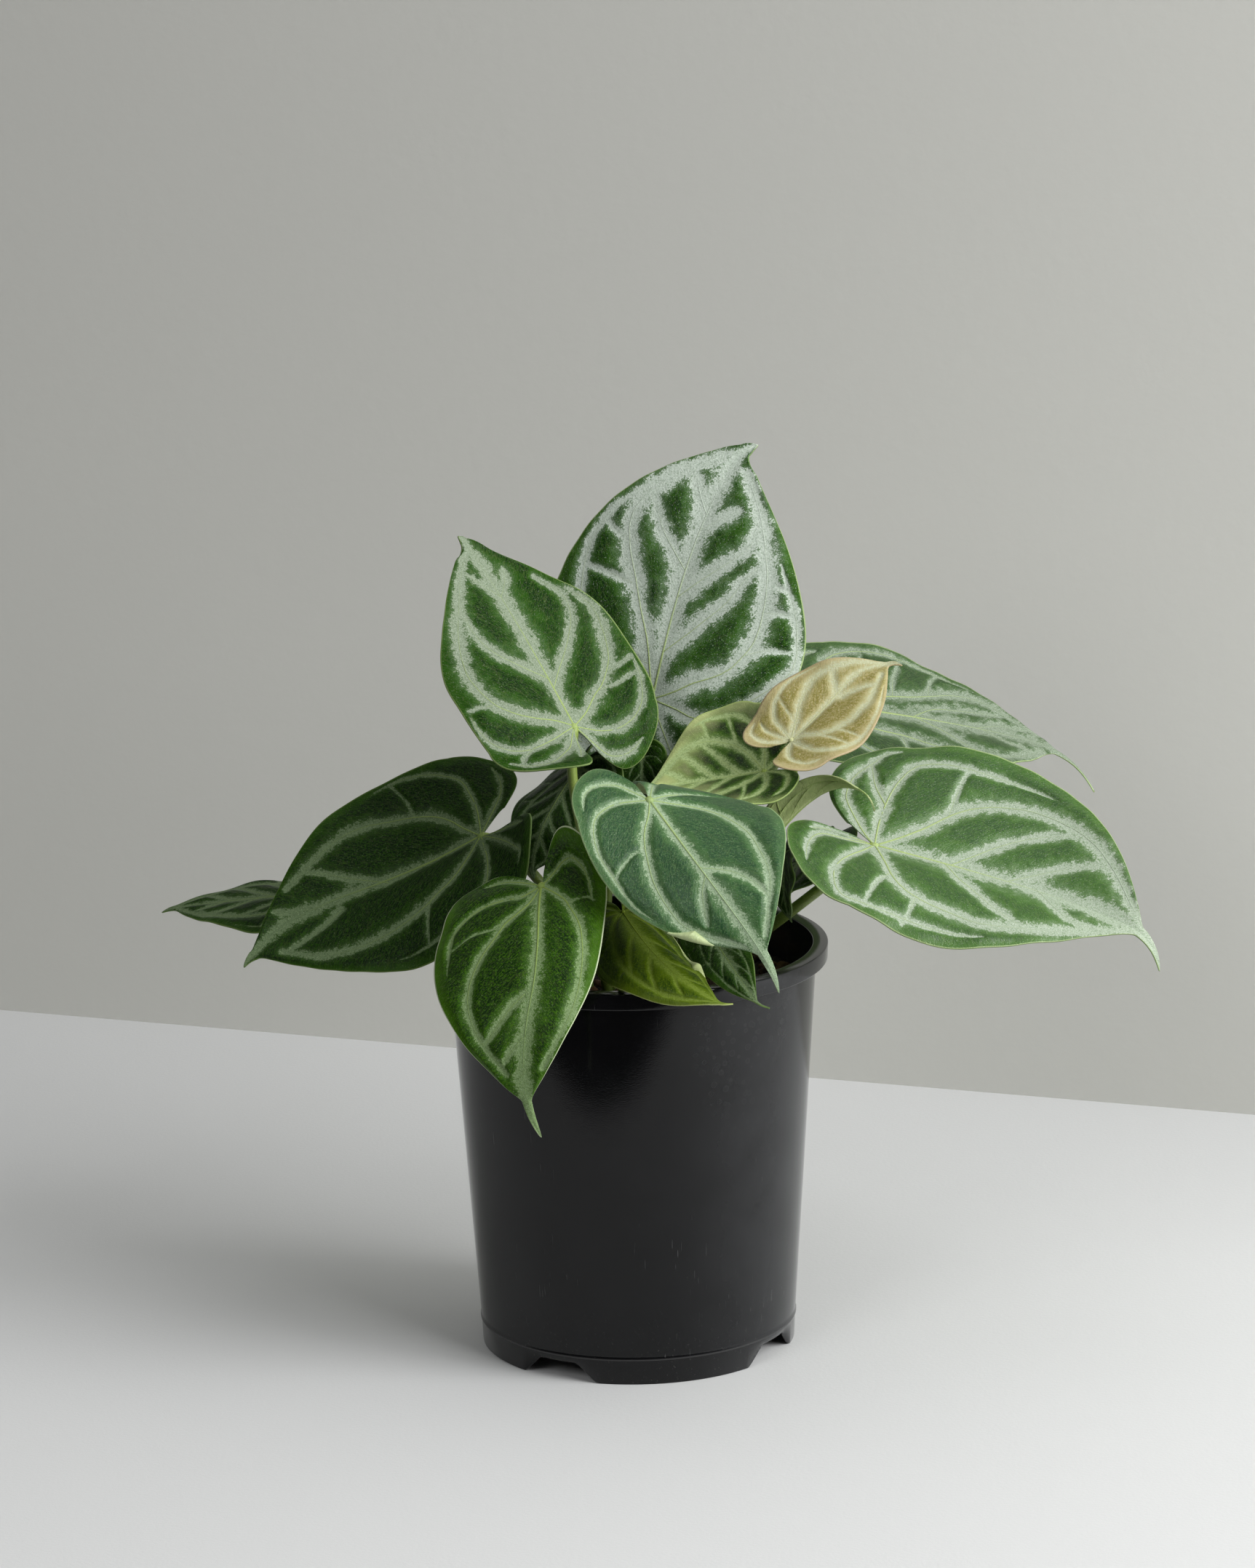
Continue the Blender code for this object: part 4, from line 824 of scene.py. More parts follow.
def vein_paths(name, leaf):
    """All veins of a blade but the midrib, as (places, half, band half widths, rib radii).

    Bands and ribs are in metres. A band has three half widths, at the start, at four fifths and at
    the end; a rib has two.
    """
    width = sum(leaf.half_width) / 2
    found = []
    for half, veins in enumerate(VEINS.get(name, USUAL_VEINS)):
        for kind, (bands, ribs) in VEIN_KINDS.items():
            given = getattr(veins, kind)
            places = (given,) if kind in ("arch", "outer") else given
            wide = tuple(band * width * leaf.silver for band in bands)
            rib = tuple(radius * leaf.length for radius in ribs)
            found += [(path, half, wide, rib) for path in places]
    return found


def vein_lines(name, leaf):
    """Veins as signed flat paths, left positive: (points, band half widths, rib radii)."""
    lines = []
    way = np.linspace(0, 1, VEIN_STEPS)
    for path, half, band, rib in vein_paths(name, leaf):
        k, share = np.array(path, dtype=float).T
        flat = np.stack(flat_place(leaf, half, k, share), 1) * [1, 1 - 2 * half]
        lines.append((smooth_path(flat, VEIN_STEPS), np.interp(way, (0, 0.8, 1), band),
                      np.interp(way, (0, 1), rib)))
    return lines


def spine_line(name, leaf):
    """The midrib as a signed flat path: straight, or drawn a little aside where SPINES says so."""
    k, share = np.array(SPINES.get(name, STRAIGHT_SPINE), dtype=float).T
    side = (share < 0).astype(int)
    flat = [flat_place(leaf, half, a, abs(b)) for half, a, b in zip(side, k, share)]
    return smooth_path(np.array(flat) * np.stack([np.ones(len(k)), np.sign(share)], 1), SPINE_STEPS)


def nearest_share(flat, band, x, y):
    """Distance from the points (x, y) to a path, over the band half width at the nearest place."""
    start, step = flat[:-1], np.diff(flat, axis=0)
    to_x, to_y = x[:, None] - start[:, 0], y[:, None] - start[:, 1]
    t = (to_x * step[:, 0] + to_y * step[:, 1]) / np.maximum((step ** 2).sum(1), 1e-14)
    t = np.clip(t, 0, 1)
    gap = np.hypot(to_x - t * step[:, 0], to_y - t * step[:, 1])
    return (gap / (band[:-1] + t * np.diff(band))).min(1)


def band_field(name, leaf, lines, x, y):
    """How far each flat point lies from the veins: 0 on a vein, 1 at the edge of its pale band.

    Distances to all veins, each over its band's half width, are joined with a soft minimum, which
    rounds the corners between veins. The usual veins are those of a leaf 90 mm long, so their
    midrib's band shrinks with the leaf.
    """
    spine = spine_line(name, leaf)
    halves = VEINS.get(name, USUAL_VEINS)
    scale = 0.001 if name in VEINS else leaf.length / 90
    place = spine[:, 0] / leaf.length
    total = np.zeros(x.shape)
    aside = np.interp(x, spine[:, 0], spine[:, 1])
    for half, veins in enumerate(halves):
        near_joint, middle, near_tip = (wide * scale for wide in veins.midrib)
        widths = (near_joint * 0.7, near_joint, middle, near_tip, 0.001)
        band = np.interp(place, (0, 0.08, 0.45, 0.8, 1), widths)
        here = (y >= aside) if half == 0 else (y < aside)
        total[here] += np.exp(-BAND_SHARPNESS * nearest_share(spine, band, x[here], y[here]))
    for flat, band, _ in lines:
        total += np.exp(-BAND_SHARPNESS * nearest_share(flat, band, x, y))
    return -np.log(np.maximum(total, 1e-9)) / BAND_SHARPNESS


# Fine blades

def half_grid(leaf, half, columns, lobe_rows, front_rows):
    """Flat places, share and row of one half's grid, from the sinus to the last row before the tip."""
    share = np.linspace(0, 1, columns + 1)[None, :]
    front = 1 - (1 - np.linspace(0, 1, front_rows + 1)[:-1]) ** ROW_CROWDING
    k = np.concatenate([np.linspace(-1, 0, lobe_rows + 1)[:-1], front])[:, None]
    along, across = flat_place(leaf, half, k, share)
    row = np.where(k < 0, (1 + k) * LOBE_WAVES, LOBE_WAVES + (1 - LOBE_WAVES) * k) + 0 * share
    return along, across, share + 0 * along, row


def blade_arrays(name, leaf, lines):
    """Middle surface of the whole blade: points, fields, triangles and the edge as a closed loop.

    Both halves share the joint, the midrib and the tip. Triangles with two corners in one place,
    where a half's lobe rows meet at the joint, are left out.
    """
    wide = max(leaf.half_width)
    columns = round(wide / CELL)
    front_rows = round(leaf.length / CELL)
    lobe_rows = round(wide * LOBE_ROWS / CELL)
    rows = lobe_rows + front_rows
    points, edges, flats, ids = [], [], [], []
    for half in (0, 1):
        along, across, share, row = half_grid(leaf, half, columns, lobe_rows, front_rows)
        points.append(blade_points(leaf, along, across, share, row, half).reshape(-1, 3))
        edges.append((leaf.half_width[half] * (1 - share)).ravel())
        flats.append(np.stack([along, across * (1 - 2 * half)], -1).reshape(-1, 2))
        grid = np.arange(rows * (columns + 1)).reshape(rows, columns + 1) + half * rows * (columns + 1)
        if half == 1:
            grid[:, 0] = ids[0][:, 0]
        grid[:lobe_rows + 1, 0] = 0
        ids.append(grid)
    tip = 2 * rows * (columns + 1)
    end = np.array([leaf.length]), np.zeros(1), np.zeros(1), np.ones(1)
    points = np.concatenate([*points, blade_points(leaf, *end, 0)])
    edges = np.concatenate([*edges, [0.0]])
    flats = np.concatenate([*flats, [[leaf.length, 0.0]]])
    triangles = []
    for half, grid in enumerate(ids):
        a, b = grid[:-1, :-1].ravel(), grid[1:, :-1].ravel()
        c, d = grid[1:, 1:].ravel(), grid[:-1, 1:].ravel()
        last = grid[-1]
        faces = np.concatenate([np.stack([a, b, c], 1), np.stack([a, c, d], 1),
                                np.stack([last[:-1], np.full(columns, tip), last[1:]], 1)])
        faces = faces[(faces != np.roll(faces, -1, axis=1)).all(1)]
        triangles.append(faces if half == 0 else faces[:, ::-1])
    triangles = np.concatenate(triangles)
    left, right = ids
    loop = np.concatenate([[0], left[0, 1:], left[1:, -1], [tip],
                           right[1:, -1][::-1], right[0, 1:][::-1]])
    used, compact = np.unique(triangles, return_inverse=True)
    renumber = np.zeros(len(points), dtype=int)
    renumber[used] = np.arange(len(used))
    flats = flats[used]
    band = band_field(name, leaf, lines, *flats.T)
    return points[used], (band, edges[used], flats), compact.reshape(-1, 3), renumber[loop]


def point_normals(points, triangles):
    """Area-weighted normals of the points."""
    face = np.cross(points[triangles[:, 1]] - points[triangles[:, 0]],
                    points[triangles[:, 2]] - points[triangles[:, 0]])
    normals = np.stack([sum(np.bincount(triangles[:, k], face[:, axis], len(points)) for k in range(3))
                        for axis in range(3)], 1)
    return unit(normals)


def blade_solid(name, leaf, lines):
    """The thin closed blade: both faces, half a thickness off the middle surface, and the edge.

    Away from the veins the blade swells by QUILT off its upper side, so the veins lie sunken, and
    near the margin it is raised and lowered by RIPPLE times two sine waves at unlike angles.
    """
    points, (band, edge, flat), triangles, loop = blade_arrays(name, leaf, lines)
    normals = point_normals(points, triangles)
    size = min(leaf.length / FULL_SIZE_LENGTH, 1)
    quilt = QUILT * size * smooth_step((band - OFF_VEIN) / QUILT_RISE)
    quilt = quilt * smooth_step(edge / QUILT_MARGIN)
    ripple = RIPPLE * size * waves(*flat.T, RIPPLE_WAVES)
    ripple = ripple * smooth_step(1 - edge / RIPPLE_MARGIN)
    ripple = ripple * smooth_step((band - OFF_VEIN) / RIPPLE_RISE)
    points = points + normals * (quilt + ripple)[:, None]
    offset = normals * BLADE_THICKNESS / 2
    count = len(points)
    after = np.roll(loop, -1)
    rim = np.concatenate([np.stack([loop, after, after + count], 1),
                          np.stack([loop, after + count, loop + count], 1)])
    both = np.concatenate([points + offset, points - offset])
    faces = np.concatenate([triangles, triangles[:, ::-1] + count, rim])
    fields = {"band": np.tile(band, 2), "edge": np.tile(edge, 2), "rib": np.zeros(2 * count),
              "upper": np.repeat([1.0, 0.0], count), "along": np.tile(flat[:, 0], 2),
              "across": np.tile(flat[:, 1], 2)}
    return both, faces, fields


def surface(leaf, x, y):
    """Blade points at signed flat places, each from the half that it lies in."""
    halves = []
    for half in (0, 1):
        share, row = share_and_row(leaf, half, x, np.abs(y))
        halves.append(blade_points(leaf, x, np.abs(y), share, row, half))
    return np.where((y >= 0)[:, None], halves[0], halves[1])


def vein_ribs(name, leaf, lines):
    """Fine ribs along the veins, sunk into the blade: closed tubes that thin out along each vein."""
    spine = spine_line(name, leaf)
    taper = np.interp(np.linspace(0, 1, len(spine)), (0, 0.5, 1), MIDRIB_RIB) * leaf.length
    parts = []
    for flat, _, radius in [(spine, None, taper), *lines]:
        keep = np.linspace(0, len(flat) - 1.5, RIB_STEPS).astype(int)
        x, y = flat[keep].T
        path = surface(leaf, x, y)
        beside = surface(leaf, x, y + 2e-4) - path
        points, faces = tube(path, radius[keep], RIB_SIDES, across=unit(beside),
                             height=radius[keep] * RIB_HEIGHT + BLADE_THICKNESS / 2)
        x, y = (np.concatenate([np.repeat(line, RIB_SIDES), line[[0, -1]]]) for line in (x, y))
        parts.append((points, faces, bump_fields(x, y)))
    return parts


def rolled_margin(leaf, half, start, end, radius, widest):
    """A piece of margin rolled up and over the upper face, so that its pale underside shows.

    Each row is an arc that leaves the margin square to the blade and bends inwards. Its radius
    grows from nothing at the start to the full radius at the widest place, and shrinks straight
    back to nothing at the end.
    """
    t = np.linspace(0, 1, ROLL_STEPS)
    k = start + (end - start) * t
    side = 1 - 2 * half
    x, y = flat_place(leaf, half, k, 1.0)
    margin = surface(leaf, x, y * side)
    inside = surface(leaf, x, y * side * ROLL_INWARD)
    inward = unit(inside - margin)
    ahead = unit(np.gradient(margin, axis=0))
    above = unit(np.cross(ahead, inward) * -side)
    bow = radius * np.where(t < widest, (t / widest) ** ROLL_SWELL, (1 - t) / (1 - widest)) + 1e-5
    angle = np.linspace(0, ROLL_ANGLE, ROLL_BENDS)[None, :, None]
    arcs = above[:, None] * np.sin(angle) + inward[:, None] * (1 - np.cos(angle))
    rows = margin[:, None] + arcs * bow[:, None, None]
    shell = np.concatenate([rows, (rows + unit(arcs - inward[:, None]) * BLADE_THICKNESS)[:, ::-1]], 1)
    points = shell.reshape(-1, 3)
    around = 2 * ROLL_BENDS
    faces = grid_triangles(ROLL_STEPS, around, wrap=True)
    faces = faces if half == 0 else faces[:, ::-1]
    fields = bump_fields(np.repeat(x, around), np.repeat(y * side, around))
    fields["rib"] = fields["upper"] = np.zeros(len(points))
    fields["band"] = np.full(len(points), CLEAR_OF_VEINS)
    return points, faces, fields


def bump_fields(x, y):
    """Fields of a rib or knob at flat places: on a vein, on the upper side, clear of the edge."""
    one = np.ones(len(x))
    return {"band": 0 * one, "edge": 0.01 * one, "rib": one, "upper": one, "along": x,
            "across": y}


def join(parts):
    """Puts parts of (points, triangles, fields) into one mesh's arrays."""
    start = 0
    faces = []
    for points, triangles, _ in parts:
        faces.append(triangles + start)
        start += len(points)
    fields = {label: np.concatenate([part[2][label] for part in parts]) for label in parts[0][2]}
    return np.concatenate([part[0] for part in parts]), np.concatenate(faces), fields


def knob(leaf):
    """The small bump where the stalk meets the upper face: half an ellipsoid, closed below."""
    rings = np.linspace(0, math.pi, KNOB_RINGS)[:, None]
    turns = (np.arange(KNOB_SIDES) * math.tau / KNOB_SIDES)[None, :]
    radius = leaf.stalk * KNOB_RADIUS * np.sin(rings)
    points = np.stack([radius * np.cos(turns), radius * np.sin(turns),
                       KNOB * np.cos(rings) + 0 * turns], -1).reshape(-1, 3)
    at_joint = np.zeros(len(points))
    faces = grid_triangles(KNOB_RINGS, KNOB_SIDES, wrap=True)[:, ::-1]
    return points, faces, bump_fields(at_joint, at_joint)


# Stalks

def stalk_path(leaf):
    """Centre line of the stalk: straight up out of the mix, then one cubic curve to the joint."""
    axes = leaf_axes(leaf)
    knee = math.radians(leaf.knee)
    arrive = axes @ np.array([math.sin(knee), 0, math.cos(knee)])
    end = np.array(leaf.joint) - arrive * STALK_OFF_JOINT
    foot = np.array([*leaf.foot, MIX_TOP + STALK_STRAIGHT])
    span = np.linalg.norm(end - foot)
    outwards = (end - foot) * [1, 1, 0] / span
    leave = unit(np.array([0, 0, 1.0]) + outwards * leaf.lean)
    near_foot = foot + leave * span * leaf.rise
    near_joint = end - arrive * span * leaf.reach
    t = np.linspace(0, 1, STALK_STEPS)[:, None]
    curve = ((1 - t) ** 3 * foot + 3 * (1 - t) ** 2 * t * near_foot
             + 3 * (1 - t) * t ** 2 * near_joint + t ** 3 * end)
    bottom = foot - [0, 0, STALK_STRAIGHT + STALK_BURIED]
    return AXIS + np.concatenate([[bottom, (bottom + foot) / 2], curve])


def stalk_arrays(leaf):
    """The stalk as a tube: a little stouter at its foot and at its knee under the blade."""
    path = stalk_path(leaf)
    way = np.linspace(0, 1, len(path))
    swell = 1 + FOOT_SWELL * (1 - smooth_step(way / FOOT_LENGTH))
    swell = swell + KNEE_SWELL * smooth_step((way - 1 + KNEE_LENGTH) / KNEE_LENGTH)
    swell = swell * np.where(way > STALK_END_AT, STALK_END_WIDTH, 1.0)
    points, faces = tube(path, leaf.stalk * swell, STALK_SIDES)
    fields = {"way": np.concatenate([np.repeat(way, STALK_SIDES), [0.0, 1.0]])}
    return points, faces, fields


# Node helpers

class Nodes:
    """Short names for adding and linking shader nodes in one tree."""

    def __init__(self, tree):
        self.tree = tree

    def add(self, kind, **settings):
        """A new node with its settings."""
        node = self.tree.nodes.new(kind)
        for name, value in settings.items():
            setattr(node, name, value)
        return node

    def link(self, output, target):
        """Links an output to an input."""
        self.tree.links.new(output, target)

    def give(self, socket, value):
        """Links a socket to an output, or sets it to a plain value."""
        if isinstance(value, bpy.types.NodeSocket):
            self.link(value, socket)
        else:
            socket.default_value = value

    def feed(self, node, **inputs):
        """Gives inputs their values by name; spaces are written as underscores."""
        for name, value in inputs.items():
            self.give(node.inputs[name.replace("_", " ")], value)

    def math(self, operation, a, b=0.0):
        """One step of arithmetic on a and b."""
        node = self.add("ShaderNodeMath", operation=operation)
        self.give(node.inputs[0], a)
        self.give(node.inputs[1], b)
        return node.outputs[0]

    def plus(self, a, b):
        return self.math("ADD", a, b)

    def times(self, a, b):
        return self.math("MULTIPLY", a, b)

    def swing(self, noise, amount):
        """Noise centred on 0, times an amount."""
        return self.times(self.math("SUBTRACT", noise, 0.5), amount)

    def ramp(self, value, low, high, to_low=0.0, to_high=1.0):
        """A soft step of value between low and high."""
        node = self.add("ShaderNodeMapRange", interpolation_type="SMOOTHSTEP")
        self.feed(node, Value=value, From_Min=low, From_Max=high, To_Min=to_low, To_Max=to_high)
        return node.outputs["Result"]

    def mix(self, factor, a, b):
        """Colour a mixed with b."""
        node = self.add("ShaderNodeMix", data_type="RGBA", clamp_factor=True)
        for socket, value in zip((node.inputs[0], node.inputs[6], node.inputs[7]), (factor, a, b)):
            self.give(socket, value)
        return node.outputs[2]

    def noise(self, vector, scale, detail=3.0, roughness=0.55):
        """Noise from 0 to 1, with about scale lumps to a unit of its vector."""
        node = self.add("ShaderNodeTexNoise")
        self.feed(node, Vector=vector, Scale=scale, Detail=detail, Roughness=roughness)
        return node.outputs["Fac"]

    def attribute(self, name):
        """A field that the mesh carries on its points."""
        return self.add("ShaderNodeAttribute", attribute_name=name).outputs["Fac"]

    def place(self):
        """Object coordinates."""
        return self.add("ShaderNodeTexCoord").outputs["Object"]

    def bump(self, height, strength, distance):
        """The normal of a surface with fine relief."""
        node = self.add("ShaderNodeBump")
        self.feed(node, Height=height, Strength=strength, Distance=distance)
        return node.outputs["Normal"]


def new_group(name, inputs, outputs):
    """A shader node group with named sockets; returns it with the sockets inside it."""
    group = bpy.data.node_groups.new(name, "ShaderNodeTree")
    kinds = {"value": "NodeSocketFloat", "colour": "NodeSocketColor"}
    for label, (kind, default) in inputs.items():
        socket = group.interface.new_socket(label, in_out="INPUT", socket_type=kinds[kind])
        socket.default_value = default
    for label, kind in outputs.items():
        group.interface.new_socket(label, in_out="OUTPUT", socket_type=kinds[kind])
    given = group.nodes.new("NodeGroupInput").outputs
    return group, given, group.nodes.new("NodeGroupOutput").inputs


def new_material(name):
    """A material, short names for its nodes, and its Principled shader."""
    material = bpy.data.materials.new(name)
    material.use_nodes = True
    return material, Nodes(material.node_tree), material.node_tree.nodes["Principled BSDF"]


def rgb(red, green, blue):
    """A linear colour from screen values of 0 to 255."""
    screen = np.array([red, green, blue]) / 255
    linear = np.where(screen <= 0.04045, screen / 12.92, ((screen + 0.055) / 1.055) ** 2.4)
    return (*map(float, linear), 1.0)


# Leaf materials

# Noise scales, per metre of the object: from clouds across a leaf down to single hairs
CLOUDY = 90.0
COARSE = 330.0
FINE = 1500.0
TINY = 3600.0
DOTS = 2200.0

# Streaks: angle to the midrib in radians, and length and width in metres. The net of small veins
# is drawn out like them. The halves are taken apart in the noise, so they don't mirror each other.
STREAK_ANGLE = 0.75
STREAK_SIZE = (1 / 420, 1 / 1900, 1.0)
NET_SCALE = 0.55
HALVES_APART = 0.37

# Where the pale line at the margin begins and is full, and the depth of the skin's relief
MARGIN_LINE = (0.0006, 0.0002)
SKIN_RELIEF = 0.0003

LEAF_INPUTS = {
    "Band": ("colour", rgb(174, 188, 170)), "Vein": ("colour", rgb(158, 178, 104)),
    "Patch": ("colour", rgb(62, 104, 24)), "Patch Deep": ("colour", rgb(28, 62, 16)),
    "Border": ("colour", rgb(74, 112, 40)), "Margin": ("colour", rgb(168, 188, 130)),
    "Under": ("colour", rgb(118, 142, 90)), "Tip": ("colour", rgb(168, 182, 120)),
    "Tip From": ("value", 1.0), "Tip To": ("value", 2.0), "Fuzz": ("value", 1.0),
    "Soft": ("value", 0.12), "Dusting": ("value", 0.42), "Border Width": ("value", 0.0055),
    "Sparkle": ("colour", rgb(226, 234, 224)),
}


def leaf_group():
    """Colour, roughness and relief of a blade, from its band, edge, rib, upper, along and across fields.

    The pale bands end in a grainy, streaky edge: noise drawn out slantwise towards the margin is
    added to the band field before it is cut at 1. A thin dusting of the band's colour reaches
    beyond. Between the bands the blade is green, darker in the middle of each patch, with a
    hint of small veins and fine pale dots. The border is a lighter green and ends in a pale line.
    From Tip From to Tip To, in metres from the joint, the green turns to the tip colour.
    """
    outputs = {"Color": "colour", "Roughness": "value", "Height": "value"}
    group, given, made = new_group("leaf_pattern", LEAF_INPUTS, outputs)
    n = Nodes(group)
    place = n.place()
    band, edge, rib, upper = (n.attribute(label) for label in ("band", "edge", "rib", "upper"))
    along, across = n.attribute("along"), n.attribute("across")
    side = n.times(n.math("GREATER_THAN", across, 0.0), HALVES_APART)
    flat = n.add("ShaderNodeCombineXYZ")
    n.feed(flat, X=along, Y=n.math("ABSOLUTE", across), Z=side)
    reach = n.math("POWER", n.plus(n.times(along, along), n.times(across, across)), 0.5)
    slanted = n.add("ShaderNodeMapping", vector_type="TEXTURE")
    n.feed(slanted, Vector=flat.outputs[0], Rotation=(0.0, 0.0, STREAK_ANGLE), Scale=STREAK_SIZE)

    cloudy = n.noise(place, CLOUDY, detail=2.0)
    coarse = n.noise(place, COARSE)
    fine = n.noise(place, FINE, detail=2.0, roughness=0.6)
    tiny = n.noise(place, TINY, detail=1.0)
    streak = n.noise(slanted.outputs[0], 1.0, roughness=0.6)
    shifted = band
    for noise, amount in ((cloudy, 1.2), (coarse, 1.7), (streak, 1.0), (fine, 1.7), (tiny, 1.2)):
        shifted = n.plus(shifted, n.times(n.swing(noise, amount), given["Fuzz"]))
    pale = n.ramp(shifted, n.plus(1.0, given["Soft"]), n.math("SUBTRACT", 1.0, given["Soft"]))
    dusting = n.times(n.ramp(shifted, 2.3, 0.9), n.ramp(fine, 0.34, 0.66))
    pale = n.math("MAXIMUM", pale, n.times(dusting, given["Dusting"]))

    deep = n.plus(n.plus(band, n.swing(coarse, 3.0)), n.swing(cloudy, 4.0))
    patch = n.mix(n.ramp(deep, 1.0, 3.2), given["Patch"], given["Patch Deep"])
    flecks = n.ramp(n.plus(fine, n.times(streak, 0.6)), 0.74, 0.98, to_high=0.7)
    patch = n.mix(flecks, patch, given["Border"])
    border = n.ramp(n.plus(edge, n.swing(coarse, 0.006)), given["Border Width"], 0.0005)
    patch = n.mix(n.times(border, 0.8), patch, given["Border"])
    net = n.add("ShaderNodeTexVoronoi", feature="DISTANCE_TO_EDGE")
    n.feed(net, Vector=slanted.outputs[0], Scale=NET_SCALE, Randomness=1.0)
    net = n.ramp(n.plus(net.outputs["Distance"], n.times(fine, 0.2)), 0.20, 0.06)
    patch = n.mix(n.times(net, 0.10), patch, given["Vein"])
    dots = n.ramp(n.noise(place, DOTS, detail=1.0), 0.60, 0.74, to_high=0.34)
    patch = n.mix(dots, patch, given["Band"])
    ripe = n.ramp(n.plus(reach, n.swing(cloudy, 0.02)), given["Tip From"], given["Tip To"])
    patch = n.mix(ripe, patch, given["Tip"])

    silver = n.mix(n.ramp(fine, 0.42, 0.68, to_high=0.40), given["Band"], given["Patch"])
    silver = n.mix(n.ramp(tiny, 0.54, 0.66, to_high=0.60), silver, given["Sparkle"])
    upper_colour = n.mix(pale, patch, silver)
    rib_colour = n.mix(n.ramp(reach, 0.006, 0.085), given["Vein"], given["Band"])
    upper_colour = n.mix(n.times(rib, 0.85), upper_colour, rib_colour)
    line = n.ramp(edge, *MARGIN_LINE)
    upper_colour = n.mix(n.times(line, 0.8), upper_colour, given["Margin"])

    under = n.mix(n.ramp(band, 0.5, 0.1, to_high=0.5), given["Under"], given["Margin"])
    under = n.mix(n.ramp(coarse, 0.3, 0.8, to_high=0.3), under, given["Border"])
    n.link(n.mix(upper, under, upper_colour), made["Color"])
    rough = n.plus(pale, n.math("SUBTRACT", fine, 0.5))
    n.link(n.ramp(rough, 0.0, 1.0, to_low=0.38, to_high=0.58), made["Roughness"])
    height = n.plus(n.times(fine, 0.5), n.times(coarse, 1.6))
    height = n.plus(height, n.times(cloudy, 3.0))
    n.link(n.math("SUBTRACT", height, n.times(net, 0.5)), made["Height"])
    return group


def leaf_material(name, group, specular=0.16, sheen=0.02, **values):
    """One leaf finish: the leaf pattern with its own colours, on a velvety surface."""
    material, n, shader = new_material(name)
    pattern = n.add("ShaderNodeGroup", node_tree=group)
    n.feed(pattern, **values)
    relief = n.bump(pattern.outputs["Height"], 0.45, SKIN_RELIEF)
    n.feed(shader, Base_Color=pattern.outputs["Color"], Roughness=pattern.outputs["Roughness"],
           Normal=relief, Sheen_Weight=sheen, Sheen_Roughness=0.4, Specular_IOR_Level=specular)
    return material


def stalk_material():
    """Green stalk skin: paler near the blade, with lengthwise streaks and fine flecks."""
    material, n, shader = new_material("stalk_skin")
    place = n.place()
    stretched = n.add("ShaderNodeMapping")
    n.feed(stretched, Vector=place, Scale=(1.0, 1.0, 0.15))
    streaks = n.noise(stretched.outputs[0], 900.0, detail=2.0)
    flecks = n.ramp(n.noise(place, 2400.0, detail=1.0), 0.62, 0.72)
    base = n.mix(n.ramp(n.attribute("way"), 0.1, 1.0), rgb(84, 106, 30), rgb(138, 158, 76))
    base = n.mix(n.ramp(streaks, 0.35, 0.7, to_high=0.5), base, rgb(100, 120, 52))
    base = n.mix(n.times(flecks, 0.35), base, rgb(190, 200, 140))
    n.feed(shader, Base_Color=base, Roughness=0.42, Normal=n.bump(streaks, 0.25, 0.0002))
    return material


